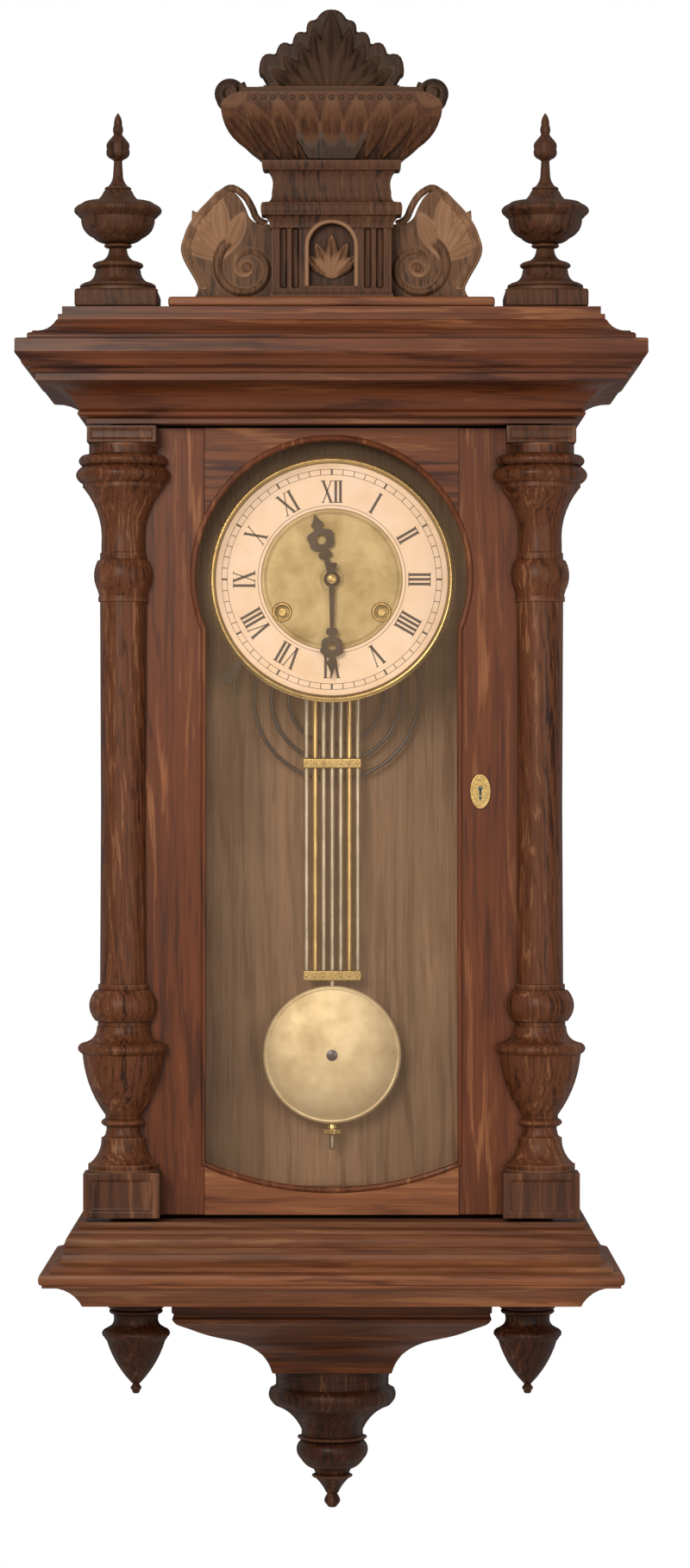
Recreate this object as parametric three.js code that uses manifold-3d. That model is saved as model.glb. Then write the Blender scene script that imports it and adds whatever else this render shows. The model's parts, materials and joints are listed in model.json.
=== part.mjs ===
// A spring-driven regulator wall clock with strike, in millimetres, +Z up.
// The origin is the hanger on the wall plane y = 0, and the clock faces -Y.
import * as THREE from 'three';
import { mergeVertices } from 'three/addons/utils/BufferGeometryUtils.js';
import Module from 'manifold-3d';

const wasm = await Module();
wasm.setup();

// Clearances that the whole clock shares
const seatGap = 0.3;
const overrun = 2;

// Carcass
const caseHalfWidth = 168;
const caseTopZ = -20;
const caseBottomZ = -626;
const sideThickness = 14;
const shelfThickness = 12;
const backThickness = 10;
const backRise = 48;
const arborTipClearance = 12.8;
const windowRearMargin = 24;
const windowFrontMargin = 24;
const windowTopMargin = 42;
const windowBottomMargin = 38;
const sideGlassThickness = 2;
const caseInnerHalf = caseHalfWidth - sideThickness;

// Hanger
const hangerWidth = 60;
const hangerHeight = 40;
const hangerThickness = 2;
const hangerHeadRadius = 6;
const hangerSlotHalf = 3;
const hangerSlotRise = 14;
const hangerWellRadius = 17;

// Door
const doorTopZ = -30;
const doorBottomZ = -623;
const doorThickness = 22;
const stileWidth = 72;
const sightArchSpread = 8;
const topRailHeight = 8;
const sightBottomZ = -604;
const sightBottomRise = 20;
const sightHalf = caseHalfWidth - stileWidth;
const sightRadius = sightHalf + sightArchSpread;
const dialZ = doorTopZ - topRailHeight - sightRadius;
const rebateWidth = 4.5;
const rebateDepth = 6;
const doorGlassThickness = 2.5;

// Half columns on the door
const columnInset = 11;
const columnRadius = 33;
const columnTopZ = -43;
const columnBottomZ = -589;
const abacusHalf = 26;
const pedestalHalf = 28.6;
const columnSides = 16;
const columnX = caseHalfWidth - columnInset;

// Door hinges and lock
const hingeHeight = 51;
const hingeBarrelRadius = 3.5;
const hingePinRadius = 1.4;
const hingeLeafThickness = 1.6;
const hingeLeafReach = 13;
const hingeDistance = 150;
const hingeSides = 10;
const lockInset = 16;
const lockZ = -304;
const lockBarrelRadius = 5;
const lockThrow = 6;
const lockArmWidth = 8;
const lockArmThickness = 4;
const lockArmInset = 6;
const escutcheonWidth = 15;
const escutcheonHeight = 26;
const escutcheonThickness = 1.5;
const lockX = sightHalf + lockInset;
const lockArmReach = caseInnerHalf - lockX + lockThrow;

// Cornice and base moulding
const corniceBottomZ = -28;
const corniceTopZ = 58;
const corniceReach = 66;
const corniceWall = 12;
const baseHeight = 63.7;
const baseReach = 49;

// Crest, finials and pendants
const crestPlinthHeight = 7.5;
const crestPlinthGap = 8;
const crestThickness = 16;
const wingInset = 8.5;
const wingHeight = 84;
const eyeX = 62;
const eyeRise = 22;
const eyeRadius = 8;
const eyeDepth = 5;
const pillarHalf = 52;
const pillarHeight = 101.4;
const pillarThickness = 22;
const nicheHalf = 17;
const nicheRise = 8;
const nicheHeight = 34;
const nicheDepth = 10;
const capitalHalf = 89;
const capitalHeight = 66;
const capitalThickness = 34;
const palmetteHeight = 113;
const palmetteThickness = 16;
const finialInset = 7;
const finialRadius = 31;
const finialHeight = 136;
const finialBlockHeight = 13.5;
const finialBlockHalf = 31;
const finialSides = 16;
const finialX = caseHalfWidth - finialInset;
const crestPlinthHalf = finialX - finialBlockHalf - crestPlinthGap;
const wingHalfWidth = crestPlinthHalf - wingInset;
const apronInset = 46;
const apronSetBack = 10;
const apronHeight = 66.5;
const dropRadius = 49.4;
const dropHeight = 111;
const dropSides = 20;
const dialSides = 40;
const pendantInset = 19;
const pendantSetBack = 10;
const pendantRadius = 25;
const pendantHeight = 71.5;
const pendantSides = 16;
const apronHalf = caseHalfWidth - apronInset;
const pendantX = caseHalfWidth - pendantInset;

// Dial and hands
const dialSightGap = 10;
const dialRadius = sightRadius - dialSightGap;
const bezelWidth = 5;
const bezelHeight = 6;
const chapterInnerRadius = 54;
const dialThickness = 1.5;
const dialFootLength = 9;
const dialFootRadius = 2.2;
const dialFootX = 50;
const dialFootZ = 46;
const dialHoleRadius = 4.6;
const windingHoleRadius = 5.4;
const hourHandLength = 52;
const minuteHandLength = 78;
const handThickness = 1.2;
const hourHandRise = 6.2;
const handSpacing = 2.8;
const hourBossRadius = 6;
const minuteBossRadius = 5;
const handSides = 16;

// Movement plates
const plateHalf = 58;
const plateBelow = 52;
const plateAbove = 68;
const plateThickness = 2;
const backPlateY = -46;
const plateSpacing = 44;
const pillarLowX = 11;
const pillarHighX = 51;
const pillarLow = 46;
const pillarHigh = 60;
const pillarRadius = 4;
const frontPlateY = backPlateY - plateThickness - plateSpacing;
const frontPlateFaceY = frontPlateY - plateThickness;
const dialPlateY = frontPlateFaceY - dialFootLength;
const hourHandY = dialPlateY - hourHandRise;
const minuteHandY = hourHandY - handSpacing;

// The case is as deep as the movement, dial and hands need
const centreTipY = minuteHandY - handThickness - overrun;
const caseDepth = arborTipClearance - centreTipY;
const doorRearY = -caseDepth - seatGap;
const doorFrontY = doorRearY - doorThickness;
const crestY = doorFrontY + seatGap;
const pendantY = pendantSetBack - caseDepth;
const apronDepth = caseDepth - apronSetBack;

// Arbors and wheels
const arborRadius = 1.5;
const pivotRadius = 0.8;
const runningGap = 0.3;
const wheelThickness = 1.8;
const secondWheelDepth = 1.5;
const greatWheelDepth = 5;
const centreWheelDepth = 12;
const thirdWheelDepth = 26;
const escapeWheelDepth = 34;
const pinWheelHeight = 4;
const barrelX = 38;
const barrelDrop = 25;
const barrelRadius = 22;
const barrelFrontGap = 11.2;
const barrelLength = plateSpacing - greatWheelDepth - wheelThickness - barrelFrontGap;
const windingRadius = 3;
const windingReach = 7;
const greatModule = 1;
const greatTeeth = 56;
const greatPinionLeaves = 8;
const secondModule = 0.8;
const secondTeeth = 48;
const secondPinionLeaves = 8;
const trainModule = 0.55;
const centreTeeth = 72;
const thirdTeeth = 63;
const trainPinionLeaves = 7;
const pinionLength = 5;
const escapeTeeth = 30;
const escapeRadius = 14;
const escapeRise = 38;
const palletRise = 60;
const palletThickness = 4;
const palletBodyWidth = 4;
const cannonModule = 0.6;
const cannonLeaves = 12;
const minuteWheelTeeth = 36;
const minutePinionLeaves = 8;
const hourWheelTeeth = 32;
const motionModule = cannonModule * (cannonLeaves + minuteWheelTeeth) / (minutePinionLeaves + hourWheelTeeth);
const motionThickness = 1.6;
const minuteStudRadius = 1.2;
const hourPipeBore = 2.1;
const hourPipeRadius = 3.2;
const crutchLength = 68;
const crutchWidth = 5;
const crutchThickness = 2;
const crutchPinRadius = 0.8;

// Strike side
const pinCount = 8;
const pinCircleRadius = 15;
const pinRadius = 1;
const pinLength = 3;
const flyDistanceX = 14.5;
const flyRise = 17.45;
const flyHalf = 9;
const flyPinGap = 3;
const flyRearGap = 5.2;
const flyThickness = 1;
const hammerX = -50;
const hammerDrop = 30;
const hammerReachX = 32;
const hammerReachZ = 44;
const hammerHeadRadius = 5;
const hammerStudRadius = 1.6;
const hammerBossRadius = 4.5;
const hammerThickness = 2;
const gongDrop = 88;
const gongZ = dialZ - gongDrop;
const gongY = -20;
const gongRadius = 75;
const gongInnerRadius = 27;
const gongLoops = 3.5;
const gongWireRadius = 1.5;
const gongPostRadius = 9;
const stepsPerLoop = 24;
const wireSides = 6;

// Movement bracket
const bracketRise = 20;
const bracketBelow = 10;
const bracketThickness = 3;
const bracketArm = 6;
const bracketFoot = 12;

// Pendulum
const pendulumY = -30;
const springWidth = 10;
const springThickness = 0.5;
const springTopRise = 18;
const springBlockHeight = 8;
const springBlockHalf = 3;
const springDrop = 16;
const springPinRadius = 1;
const springEyeRadius = 1.9;
const cockHalf = 13;
const cockThickness = 3;
const cockArmHalf = 7;
const cockSlotHalf = 1.35;
const cockArmHeight = 11;
const cockPalletHole = 4;
const gridRodRadius = 2.2;
const gridRodSpacing = 6.7;
const gridRodsEachSide = 3;
const gridTopRise = 30;
const gridBobGap = 12;
const gridTopZ = dialZ + gridTopRise;
const gridBarHeight = 8;
const gridBarThickness = 9;
const bobZ = -510;
const bobRadius = 54;
const bobThickness = 20;
const bobSides = 28;
const gridBottomZ = bobZ + bobRadius + gridBobGap;
const nutRadius = 7;
const nutHeight = 8;
const rodEndDrop = 20;
const rodEndZ = bobZ - bobRadius - rodEndDrop;

// Colours read from the photograph
const walnut = new THREE.MeshStandardMaterial({ color: 0x6a3f26, roughness: 0.5, metalness: 0 });
const darkWalnut = new THREE.MeshStandardMaterial({ color: 0x4e2a16, roughness: 0.45, metalness: 0 });
const carvedWalnut = new THREE.MeshStandardMaterial({ color: 0x6b4a3a, roughness: 0.6, metalness: 0 });
const brass = new THREE.MeshStandardMaterial({ color: 0xc8a468, roughness: 0.3, metalness: 1 });
const steel = new THREE.MeshStandardMaterial({ color: 0x8d8f92, roughness: 0.35, metalness: 1 });
const blued = new THREE.MeshStandardMaterial({ color: 0x1c1c26, roughness: 0.35, metalness: 0.6 });
const enamel = new THREE.MeshStandardMaterial({ color: 0xf5d9ba, roughness: 0.35, metalness: 0 });
const gilt = new THREE.MeshStandardMaterial({ color: 0xc8a77a, roughness: 0.35, metalness: 0.8 });
const pane = new THREE.MeshStandardMaterial({
  color: 0xdfe6e2, roughness: 0.05, metalness: 0, transparent: true, opacity: 0.25,
});

const clock = new THREE.Group();

function place(name, geometry, material) {
  const mesh = new THREE.Mesh(geometry, material);
  mesh.name = name;
  clock.add(mesh);
  return mesh;
}

// Booleans
function toSolid(geometry) {
  const bare = geometry.clone();
  bare.deleteAttribute('normal');
  bare.deleteAttribute('uv');
  const merged = mergeVertices(bare, 1e-4);
  const vertProperties = new Float32Array(merged.attributes.position.array);
  const triVerts = new Uint32Array(merged.index.array);
  return new wasm.Manifold(new wasm.Mesh({ numProp: 3, vertProperties, triVerts }));
}

function toGeometry(solid) {
  const mesh = solid.getMesh();
  const geometry = new THREE.BufferGeometry();
  geometry.setAttribute('position', new THREE.BufferAttribute(mesh.vertProperties, 3));
  geometry.setIndex(new THREE.BufferAttribute(mesh.triVerts, 1));
  geometry.computeVertexNormals();
  return geometry;
}

function join(...geometries) {
  return toGeometry(geometries.map(toSolid).reduce((whole, next) => whole.add(next)));
}

function cut(geometry, ...cutters) {
  return toGeometry(cutters.map(toSolid).reduce((rest, next) => rest.subtract(next), toSolid(geometry)));
}

// Basic shapes
function block(xLow, xHigh, yLow, yHigh, zLow, zHigh) {
  const geometry = new THREE.BoxGeometry(xHigh - xLow, yHigh - yLow, zHigh - zLow);
  return geometry.translate((xLow + xHigh) / 2, (yLow + yHigh) / 2, (zLow + zHigh) / 2);
}

// A profile of [radius, height] points turned about a vertical axis
function turnedUpright(profile, sides, x, y, z) {
  const points = profile.map(([radius, height]) => new THREE.Vector2(radius, height));
  return new THREE.LatheGeometry(points, sides).rotateX(Math.PI / 2).translate(x, y, z);
}

// A profile of [radius, y] points turned about an axis that runs front to back
function turnedAlong(profile, sides, x, z) {
  const points = profile.map(([radius, y]) => new THREE.Vector2(radius, y));
  return new THREE.LatheGeometry(points, sides).translate(x, 0, z);
}

// A round rod from front to back
function rod(radius, yFront, yBack, sides, x, z) {
  return turnedAlong([[0, yFront], [radius, yFront], [radius, yBack], [0, yBack]], sides, x, z);
}

function rodUpright(radius, zLow, zHigh, sides, x, y) {
  return turnedUpright([[0, zLow], [radius, zLow], [radius, zHigh], [0, zHigh]], sides, x, y, 0);
}

// A ring between two radii, from front to back
function ring(inner, outer, yFront, yBack, sides, x, z) {
  const section = [[inner, yFront], [outer, yFront], [outer, yBack], [inner, yBack], [inner, yFront]];
  return turnedAlong(section, sides, x, z);
}

// A flat outline in x and z, given its thickness from yBack towards the front
function slab(shape, yBack, thickness, curveSegments = 12) {
  const geometry = new THREE.ExtrudeGeometry(shape, {
    depth: thickness, bevelEnabled: false, curveSegments,
  });
  return geometry.rotateX(Math.PI / 2).translate(0, yBack, 0);
}

function shapeOf(points) {
  return new THREE.Shape(points.map(([x, z]) => new THREE.Vector2(x, z)));
}

// Half an outline of shares, sized, raised and mirrored about x = 0
function mirroredOutline(shares, halfWidth, height, baseZ) {
  const right = shares.map(([across, up]) => [across * halfWidth, baseZ + up * height]);
  const left = right.map(([x, z]) => [-x, z]).reverse();
  return shapeOf([...right, ...left.filter(([x]) => x !== 0)]);
}

function sized(shares, radius, height) {
  return shares.map(([across, up]) => [across * radius, up * height]);
}

// A solid through rings of four corners against the wall plane
function wallLoft(rings) {
  const corners = rings.map(({ half, front, z }) => [[-half, 0, z], [-half, front, z], [half, front, z], [half, 0, z]]);
  const positions = corners.flat(2);
  const index = [];
  for (let row = 0; row + 1 < rings.length; row += 1) {
    for (let side = 0; side < 4; side += 1) {
      const a = row * 4 + side;
      const b = row * 4 + (side + 1) % 4;
      index.push(a, b, b + 4, a, b + 4, a + 4);
    }
  }
  const top = (rings.length - 1) * 4;
  index.push(0, 2, 1, 0, 3, 2, top, top + 1, top + 2, top, top + 2, top + 3);
  const geometry = new THREE.BufferGeometry();
  geometry.setAttribute('position', new THREE.Float32BufferAttribute(positions, 3));
  geometry.setIndex(index);
  return geometry;
}

// Carcass
function backboard() {
  const board = block(-caseInnerHalf + seatGap, caseInnerHalf - seatGap, -backThickness, 0, caseBottomZ, caseTopZ + backRise);
  const recess = block(
    -hangerWidth / 2 - seatGap, hangerWidth / 2 + seatGap, -hangerThickness - seatGap, overrun,
    -hangerHeight / 2 - seatGap, hangerHeight / 2 + seatGap,
  );
  const well = rod(hangerWellRadius, -backThickness - overrun, overrun, columnSides, 0, 0);
  return cut(board, recess, well);
}

function hangerPlate() {
  const plate = block(-hangerWidth / 2, hangerWidth / 2, -hangerThickness, 0, -hangerHeight / 2, hangerHeight / 2);
  const head = rod(hangerHeadRadius, -hangerThickness - overrun, overrun, handSides, 0, -hangerHeadRadius);
  const slot = block(-hangerSlotHalf, hangerSlotHalf, -hangerThickness - overrun, overrun, -hangerHeadRadius, hangerSlotRise);
  return cut(plate, head, slot);
}

function windowBox(side, inset) {
  const inner = side * (caseInnerHalf - overrun);
  const outer = side * (caseHalfWidth + overrun);
  return {
    xLow: Math.min(inner, outer), xHigh: Math.max(inner, outer),
    yLow: -caseDepth + windowFrontMargin + inset, yHigh: -windowRearMargin - inset,
    zLow: caseBottomZ + windowBottomMargin + inset, zHigh: caseTopZ - windowTopMargin - inset,
  };
}

function blockOf({ xLow, xHigh, yLow, yHigh, zLow, zHigh }) {
  return block(xLow, xHigh, yLow, yHigh, zLow, zHigh);
}

function sideBoard(side) {
  const near = side * caseInnerHalf;
  const far = side * caseHalfWidth;
  const board = block(Math.min(near, far), Math.max(near, far), -caseDepth, 0, caseBottomZ, caseTopZ);
  const cuts = [blockOf(windowBox(side, 0))];
  if (side < 0) {
    cuts.push(hingeRecess(hingeCentres.upper, -1), hingeRecess(hingeCentres.lower, -1));
  } else {
    cuts.push(lockSlot());
  }
  return cut(board, ...cuts);
}

function sidePane(side) {
  const hole = windowBox(side, seatGap);
  const middle = side * (caseInnerHalf + sideThickness / 2);
  return blockOf({ ...hole, xLow: middle - sideGlassThickness / 2, xHigh: middle + sideGlassThickness / 2 });
}

function shelf(zLow) {
  return block(
    -caseInnerHalf + seatGap, caseInnerHalf - seatGap, -caseDepth, -backThickness - seatGap,
    zLow, zLow + shelfThickness,
  );
}

// Hinges: the leaves lie in recesses between the side board and the door
const hingeAxisX = -caseHalfWidth - hingeBarrelRadius - seatGap;
const hingeAxisY = -caseDepth - seatGap / 2;
const hingeCentres = {
  upper: (doorTopZ + doorBottomZ) / 2 + hingeDistance,
  lower: (doorTopZ + doorBottomZ) / 2 - hingeDistance,
};

// Layer is -1 for the recess in the side board and +1 for the one in the door
function hingeRecess(centreZ, layer) {
  const depth = hingeLeafThickness + seatGap;
  const yFace = layer < 0 ? -caseDepth : doorRearY;
  const yLow = layer < 0 ? yFace - overrun : yFace - depth;
  const yHigh = layer < 0 ? yFace + depth : yFace + overrun;
  return block(
    -caseHalfWidth - overrun, -caseHalfWidth + hingeLeafReach + seatGap, yLow, yHigh,
    centreZ - hingeHeight / 2 - seatGap, centreZ + hingeHeight / 2 + seatGap,
  );
}

function hingeLeaf(centreZ, layer) {
  const yFace = layer < 0 ? -caseDepth : doorRearY;
  const yLow = layer < 0 ? yFace : yFace - hingeLeafThickness;
  const plate = block(
    hingeAxisX, -caseHalfWidth + hingeLeafReach, yLow, yLow + hingeLeafThickness,
    centreZ - hingeHeight / 2, centreZ + hingeHeight / 2,
  );
  const barrel = (low, high, radius) => rodUpright(radius, low, high, hingeSides, hingeAxisX, hingeAxisY);
  const third = hingeHeight / 6;
  const low = centreZ - hingeHeight / 2;
  const high = centreZ + hingeHeight / 2;
  if (layer < 0) {
    const clear = barrel(centreZ - third - seatGap, centreZ + third + seatGap, hingeBarrelRadius + seatGap);
    const knuckles = [
      barrel(low, centreZ - third - seatGap, hingeBarrelRadius),
      barrel(centreZ + third + seatGap, high, hingeBarrelRadius),
      barrel(low + overrun, high - overrun, hingePinRadius),
    ];
    return join(cut(plate, clear), ...knuckles);
  }
  const lowClear = barrel(low - overrun, centreZ - third, hingeBarrelRadius + seatGap);
  const highClear = barrel(centreZ + third, high + overrun, hingeBarrelRadius + seatGap);
  const knuckle = barrel(centreZ - third, centreZ + third, hingeBarrelRadius);
  const bore = barrel(low - overrun, high + overrun, hingePinRadius + seatGap);
  return cut(join(cut(plate, lowClear, highClear), knuckle), bore);
}

// Door frame: a round-headed sight about the dial over a straight lower part
function sightShape(spread) {
  const radius = sightRadius + spread;
  const half = sightHalf + spread;
  const shoulder = Math.asin(half / radius);
  const shape = new THREE.Shape();
  const bottom = sightBottomZ - spread;
  const corner = sightBottomZ + sightBottomRise - spread;
  const shoulderZ = dialZ - radius * Math.cos(shoulder);
  shape.moveTo(half, shoulderZ);
  shape.absarc(0, dialZ, radius, shoulder - Math.PI / 2, 3 * Math.PI / 2 - shoulder, false);
  shape.lineTo(-half, corner);
  shape.quadraticCurveTo(-half / 2, bottom, 0, bottom);
  shape.quadraticCurveTo(half / 2, bottom, half, corner);
  shape.closePath();
  return shape;
}

const sightSegments = 14;

function sightCutter() {
  return slab(sightShape(0), doorRearY + overrun, doorThickness + 2 * overrun, sightSegments);
}

function rebateCutter() {
  return slab(sightShape(rebateWidth), doorRearY + overrun, rebateDepth + overrun, sightSegments);
}

function doorGlass() {
  const rear = doorRearY - (rebateDepth - doorGlassThickness - seatGap);
  return slab(sightShape(rebateWidth - seatGap), rear, doorGlassThickness, sightSegments);
}

function doorStile(side) {
  const inner = side * sightHalf;
  const outer = side * caseHalfWidth;
  const board = block(Math.min(inner, outer), Math.max(inner, outer), doorFrontY, doorRearY, doorBottomZ, doorTopZ);
  const cuts = [sightCutter(), rebateCutter()];
  if (side < 0) {
    cuts.push(hingeRecess(hingeCentres.upper, 1), hingeRecess(hingeCentres.lower, 1));
  } else {
    cuts.push(rod(lockBarrelRadius + runningGap, doorFrontY - overrun, doorRearY + overrun, handSides, lockX, lockZ));
  }
  return cut(board, ...cuts);
}

function doorRail(zLow, zHigh) {
  const half = sightHalf - seatGap;
  const board = block(-half, half, doorFrontY, doorRearY, zLow, zHigh);
  return cut(board, sightCutter(), rebateCutter());
}

// Turned half columns: [radius, height] shares of the widest radius and the turned length
const columnShares = [
  [0, 0], [0.79, 0], [0.76, 0.012], [0.67, 0.029], [0.52, 0.044], [0.385, 0.057], [0.455, 0.071],
  [0.545, 0.086], [0.7, 0.099], [0.75, 0.113], [0.81, 0.127], [0.87, 0.143], [0.94, 0.159],
  [0.955, 0.172], [0.76, 0.187], [0.6, 0.2], [0.73, 0.214], [0.79, 0.228], [0.7, 0.243],
  [0.53, 0.256], [0.53, 0.785], [0.6, 0.8], [0.64, 0.82], [0.575, 0.843], [0.52, 0.858],
  [0.56, 0.886], [0.67, 0.908], [0.79, 0.929], [0.925, 0.943], [1, 0.958], [0.97, 0.972],
  [0.91, 0.985], [0.76, 1], [0, 1],
];

function columnAt(side) {
  const rearY = doorFrontY - seatGap;
  const turned = turnedUpright(
    sized(columnShares, columnRadius, columnTopZ - columnBottomZ), columnSides, side * columnX, rearY, columnBottomZ,
  );
  const abacus = block(
    side * columnX - abacusHalf, side * columnX + abacusHalf, rearY - abacusHalf, rearY, columnTopZ - seatGap, doorTopZ,
  );
  const pedestal = block(
    side * columnX - pedestalHalf, side * columnX + pedestalHalf, rearY - pedestalHalf, rearY, doorBottomZ,
    columnBottomZ + seatGap,
  );
  const behind = block(
    side * columnX - 2 * columnRadius, side * columnX + 2 * columnRadius, rearY, rearY + 2 * columnRadius,
    doorBottomZ - overrun, doorTopZ + overrun,
  );
  return cut(join(turned, abacus, pedestal), behind);
}

// Lock
const lockArmY = doorRearY + lockArmInset;

function lockCam() {
  const barrel = rod(lockBarrelRadius, doorFrontY, lockArmY, handSides, lockX, lockZ);
  const arm = block(
    lockX - lockArmWidth / 2, lockX + lockArmWidth / 2, lockArmY - lockArmThickness, lockArmY,
    lockZ - lockArmReach, lockZ,
  );
  const keyhole = block(
    lockX - keyWidth / 2, lockX + keyWidth / 2, doorFrontY - overrun, doorFrontY + keyDepth,
    lockZ - lockBarrelRadius / 2, lockZ + lockBarrelRadius / 2,
  );
  return cut(join(barrel, arm), keyhole);
}

const keyWidth = 2;
const keyDepth = 8;

// The arm sweeps up into this slot in the inner face of the right side board
function lockSlot() {
  const depth = lockX + lockArmReach - caseInnerHalf + 2 * seatGap;
  const inward = caseInnerHalf - lockX - lockArmWidth / 2;
  const entry = Math.sqrt(lockArmReach * lockArmReach - inward * inward);
  return block(
    caseInnerHalf - overrun, caseInnerHalf + depth, lockArmY - lockArmThickness - seatGap, lockArmY + seatGap,
    lockZ - entry - lockArmWidth, lockZ + lockArmWidth,
  );
}

function escutcheon() {
  const shape = new THREE.Shape();
  shape.absellipse(lockX, lockZ, escutcheonWidth / 2, escutcheonHeight / 2, 0, 2 * Math.PI, false, 0);
  const plate = slab(shape, doorFrontY - seatGap, escutcheonThickness);
  const front = doorFrontY - seatGap - escutcheonThickness - overrun;
  const eye = rod(keyWidth, front, doorFrontY, handSides, lockX, lockZ + keyWidth);
  const slot = block(lockX - keyWidth / 2, lockX + keyWidth / 2, front, doorFrontY, lockZ - 3 * keyWidth, lockZ + keyWidth);
  return cut(plate, eye, slot);
}

// Cornice: [reach, height] shares of the greatest overhang and the moulding height
const corniceShares = [
  [0.24, 0], [0.24, 0.06], [0.31, 0.075], [0.36, 0.14], [0.48, 0.2], [0.62, 0.27], [0.78, 0.34],
  [0.78, 0.4], [0.86, 0.42], [0.88, 0.5], [0.95, 0.52], [1, 0.6], [1, 0.69], [0.82, 0.7],
  [0.8, 0.76], [0.66, 0.82], [0.56, 0.88], [0.5, 0.93], [0.5, 1],
];

function mouldingRings(shares, reach, height, baseZ) {
  return shares.map(([out, up]) => ({
    half: caseHalfWidth + out * reach, front: doorFrontY - out * reach, z: baseZ + up * height,
  }));
}

function cornice() {
  const body = wallLoft(mouldingRings(corniceShares, corniceReach, corniceTopZ - corniceBottomZ, corniceBottomZ));
  const socket = block(
    -caseHalfWidth - seatGap, caseHalfWidth + seatGap, -caseDepth - seatGap, overrun,
    corniceBottomZ - overrun, caseTopZ + seatGap,
  );
  const hollow = block(
    -caseInnerHalf, caseInnerHalf, -caseDepth + sideThickness, overrun,
    corniceBottomZ - overrun, corniceTopZ - corniceWall,
  );
  return cut(body, socket, hollow);
}

// Base moulding: [reach, height] shares from its lower edge up
const baseShares = [
  [0.39, 0], [0.44, 0.07], [0.61, 0.13], [0.82, 0.22], [0.96, 0.28], [1, 0.31], [1, 0.42], [0.84, 0.45],
  [0.83, 0.52], [0.7, 0.58], [0.66, 0.7], [0.63, 0.78], [0.58, 0.86], [0.45, 0.93], [0.45, 1],
];
const baseTopZ = caseBottomZ - seatGap;
const baseBottomZ = baseTopZ - baseHeight;

function baseMoulding() {
  return wallLoft(mouldingRings(baseShares, baseReach, baseHeight, baseBottomZ));
}

// Apron: [half width, depth, drop] shares
const apronShares = [
  [0.38, 0.42, 1], [0.42, 0.45, 0.82], [0.49, 0.53, 0.7], [0.59, 0.65, 0.58], [0.79, 0.81, 0.46],
  [0.89, 0.9, 0.355], [1, 1, 0.235], [1, 1, 0],
];
const apronTopZ = baseBottomZ - seatGap;
const apronBottomZ = apronTopZ - apronHeight;

function apron() {
  return wallLoft(apronShares.map(([across, out, down]) => ({
    half: across * apronHalf, front: -out * apronDepth, z: apronTopZ - down * apronHeight,
  })));
}

const dropShares = [
  [0, 0], [0.18, 0.125], [0.26, 0.2], [0.375, 0.27], [0.53, 0.335], [0.57, 0.405], [0.53, 0.48],
  [0.53, 0.55], [0.715, 0.62], [0.85, 0.685], [0.95, 0.757], [1, 0.83], [0.93, 0.9], [0.91, 1], [0, 1],
];

function drop() {
  const top = apronBottomZ - seatGap;
  const turned = turnedUpright(sized(dropShares, dropRadius, dropHeight), dropSides, 0, 0, top - dropHeight);
  const wall = block(-2 * dropRadius, 2 * dropRadius, 0, 2 * dropRadius, top - 2 * dropHeight, top + overrun);
  return cut(turned, wall);
}

const pendantShares = [
  [0, 0], [0.22, 0.126], [0.44, 0.237], [0.6, 0.35], [0.75, 0.46], [0.92, 0.57], [1, 0.67], [0.86, 0.78],
  [0.7, 0.84], [0.84, 0.89], [0.84, 1], [0, 1],
];

function cornerPendant(side) {
  const top = baseBottomZ - seatGap;
  return turnedUpright(
    sized(pendantShares, pendantRadius, pendantHeight), pendantSides, side * pendantX, pendantY, top - pendantHeight,
  );
}

// Crest
const crestPlinthZ = corniceTopZ + seatGap;
const crestBaseZ = crestPlinthZ + crestPlinthHeight + seatGap;

function crestPlinth() {
  const half = crestThickness / 2 + pillarThickness + seatGap;
  return block(-crestPlinthHalf, crestPlinthHalf, crestY - half, crestY + crestThickness, crestPlinthZ, crestPlinthZ + crestPlinthHeight);
}

const wingShares = [
  [0.92, 0], [0.88, 0.1], [0.92, 0.19], [0.985, 0.37], [1, 0.47], [0.98, 0.57], [0.95, 0.67],
  [0.89, 0.79], [0.82, 0.89], [0.76, 0.97], [0.7, 1], [0.62, 0.93], [0.57, 0.82], [0.54, 0.73],
  [0.47, 0.68], [0.3, 0.68], [0, 0.68],
];

function crestPanel() {
  const yBack = crestY + crestThickness / 2;
  const board = slab(mirroredOutline(wingShares, wingHalfWidth, wingHeight, crestBaseZ), yBack, crestThickness);
  const eye = (side) => rod(
    eyeRadius, yBack - crestThickness - overrun, yBack - crestThickness + eyeDepth, handSides,
    side * eyeX, crestBaseZ + eyeRise,
  );
  return cut(board, eye(-1), eye(1));
}

const pillarShares = [
  [0.885, 0], [0.885, 0.54], [1, 0.6], [1, 0.69], [0.885, 0.77], [0.856, 0.84], [0.913, 0.92], [1, 1], [0, 1],
];

function crestPillar() {
  const yBack = crestY - crestThickness / 2 - seatGap;
  const body = slab(mirroredOutline(pillarShares, pillarHalf, pillarHeight, crestBaseZ), yBack, pillarThickness);
  const niche = new THREE.Shape();
  const low = crestBaseZ + nicheRise;
  niche.moveTo(-nicheHalf, low);
  niche.lineTo(nicheHalf, low);
  niche.lineTo(nicheHalf, low + nicheHeight);
  niche.absarc(0, low + nicheHeight, nicheHalf, 0, Math.PI, false);
  niche.closePath();
  return cut(body, slab(niche, yBack - pillarThickness + nicheDepth, nicheDepth + overrun));
}

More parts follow.
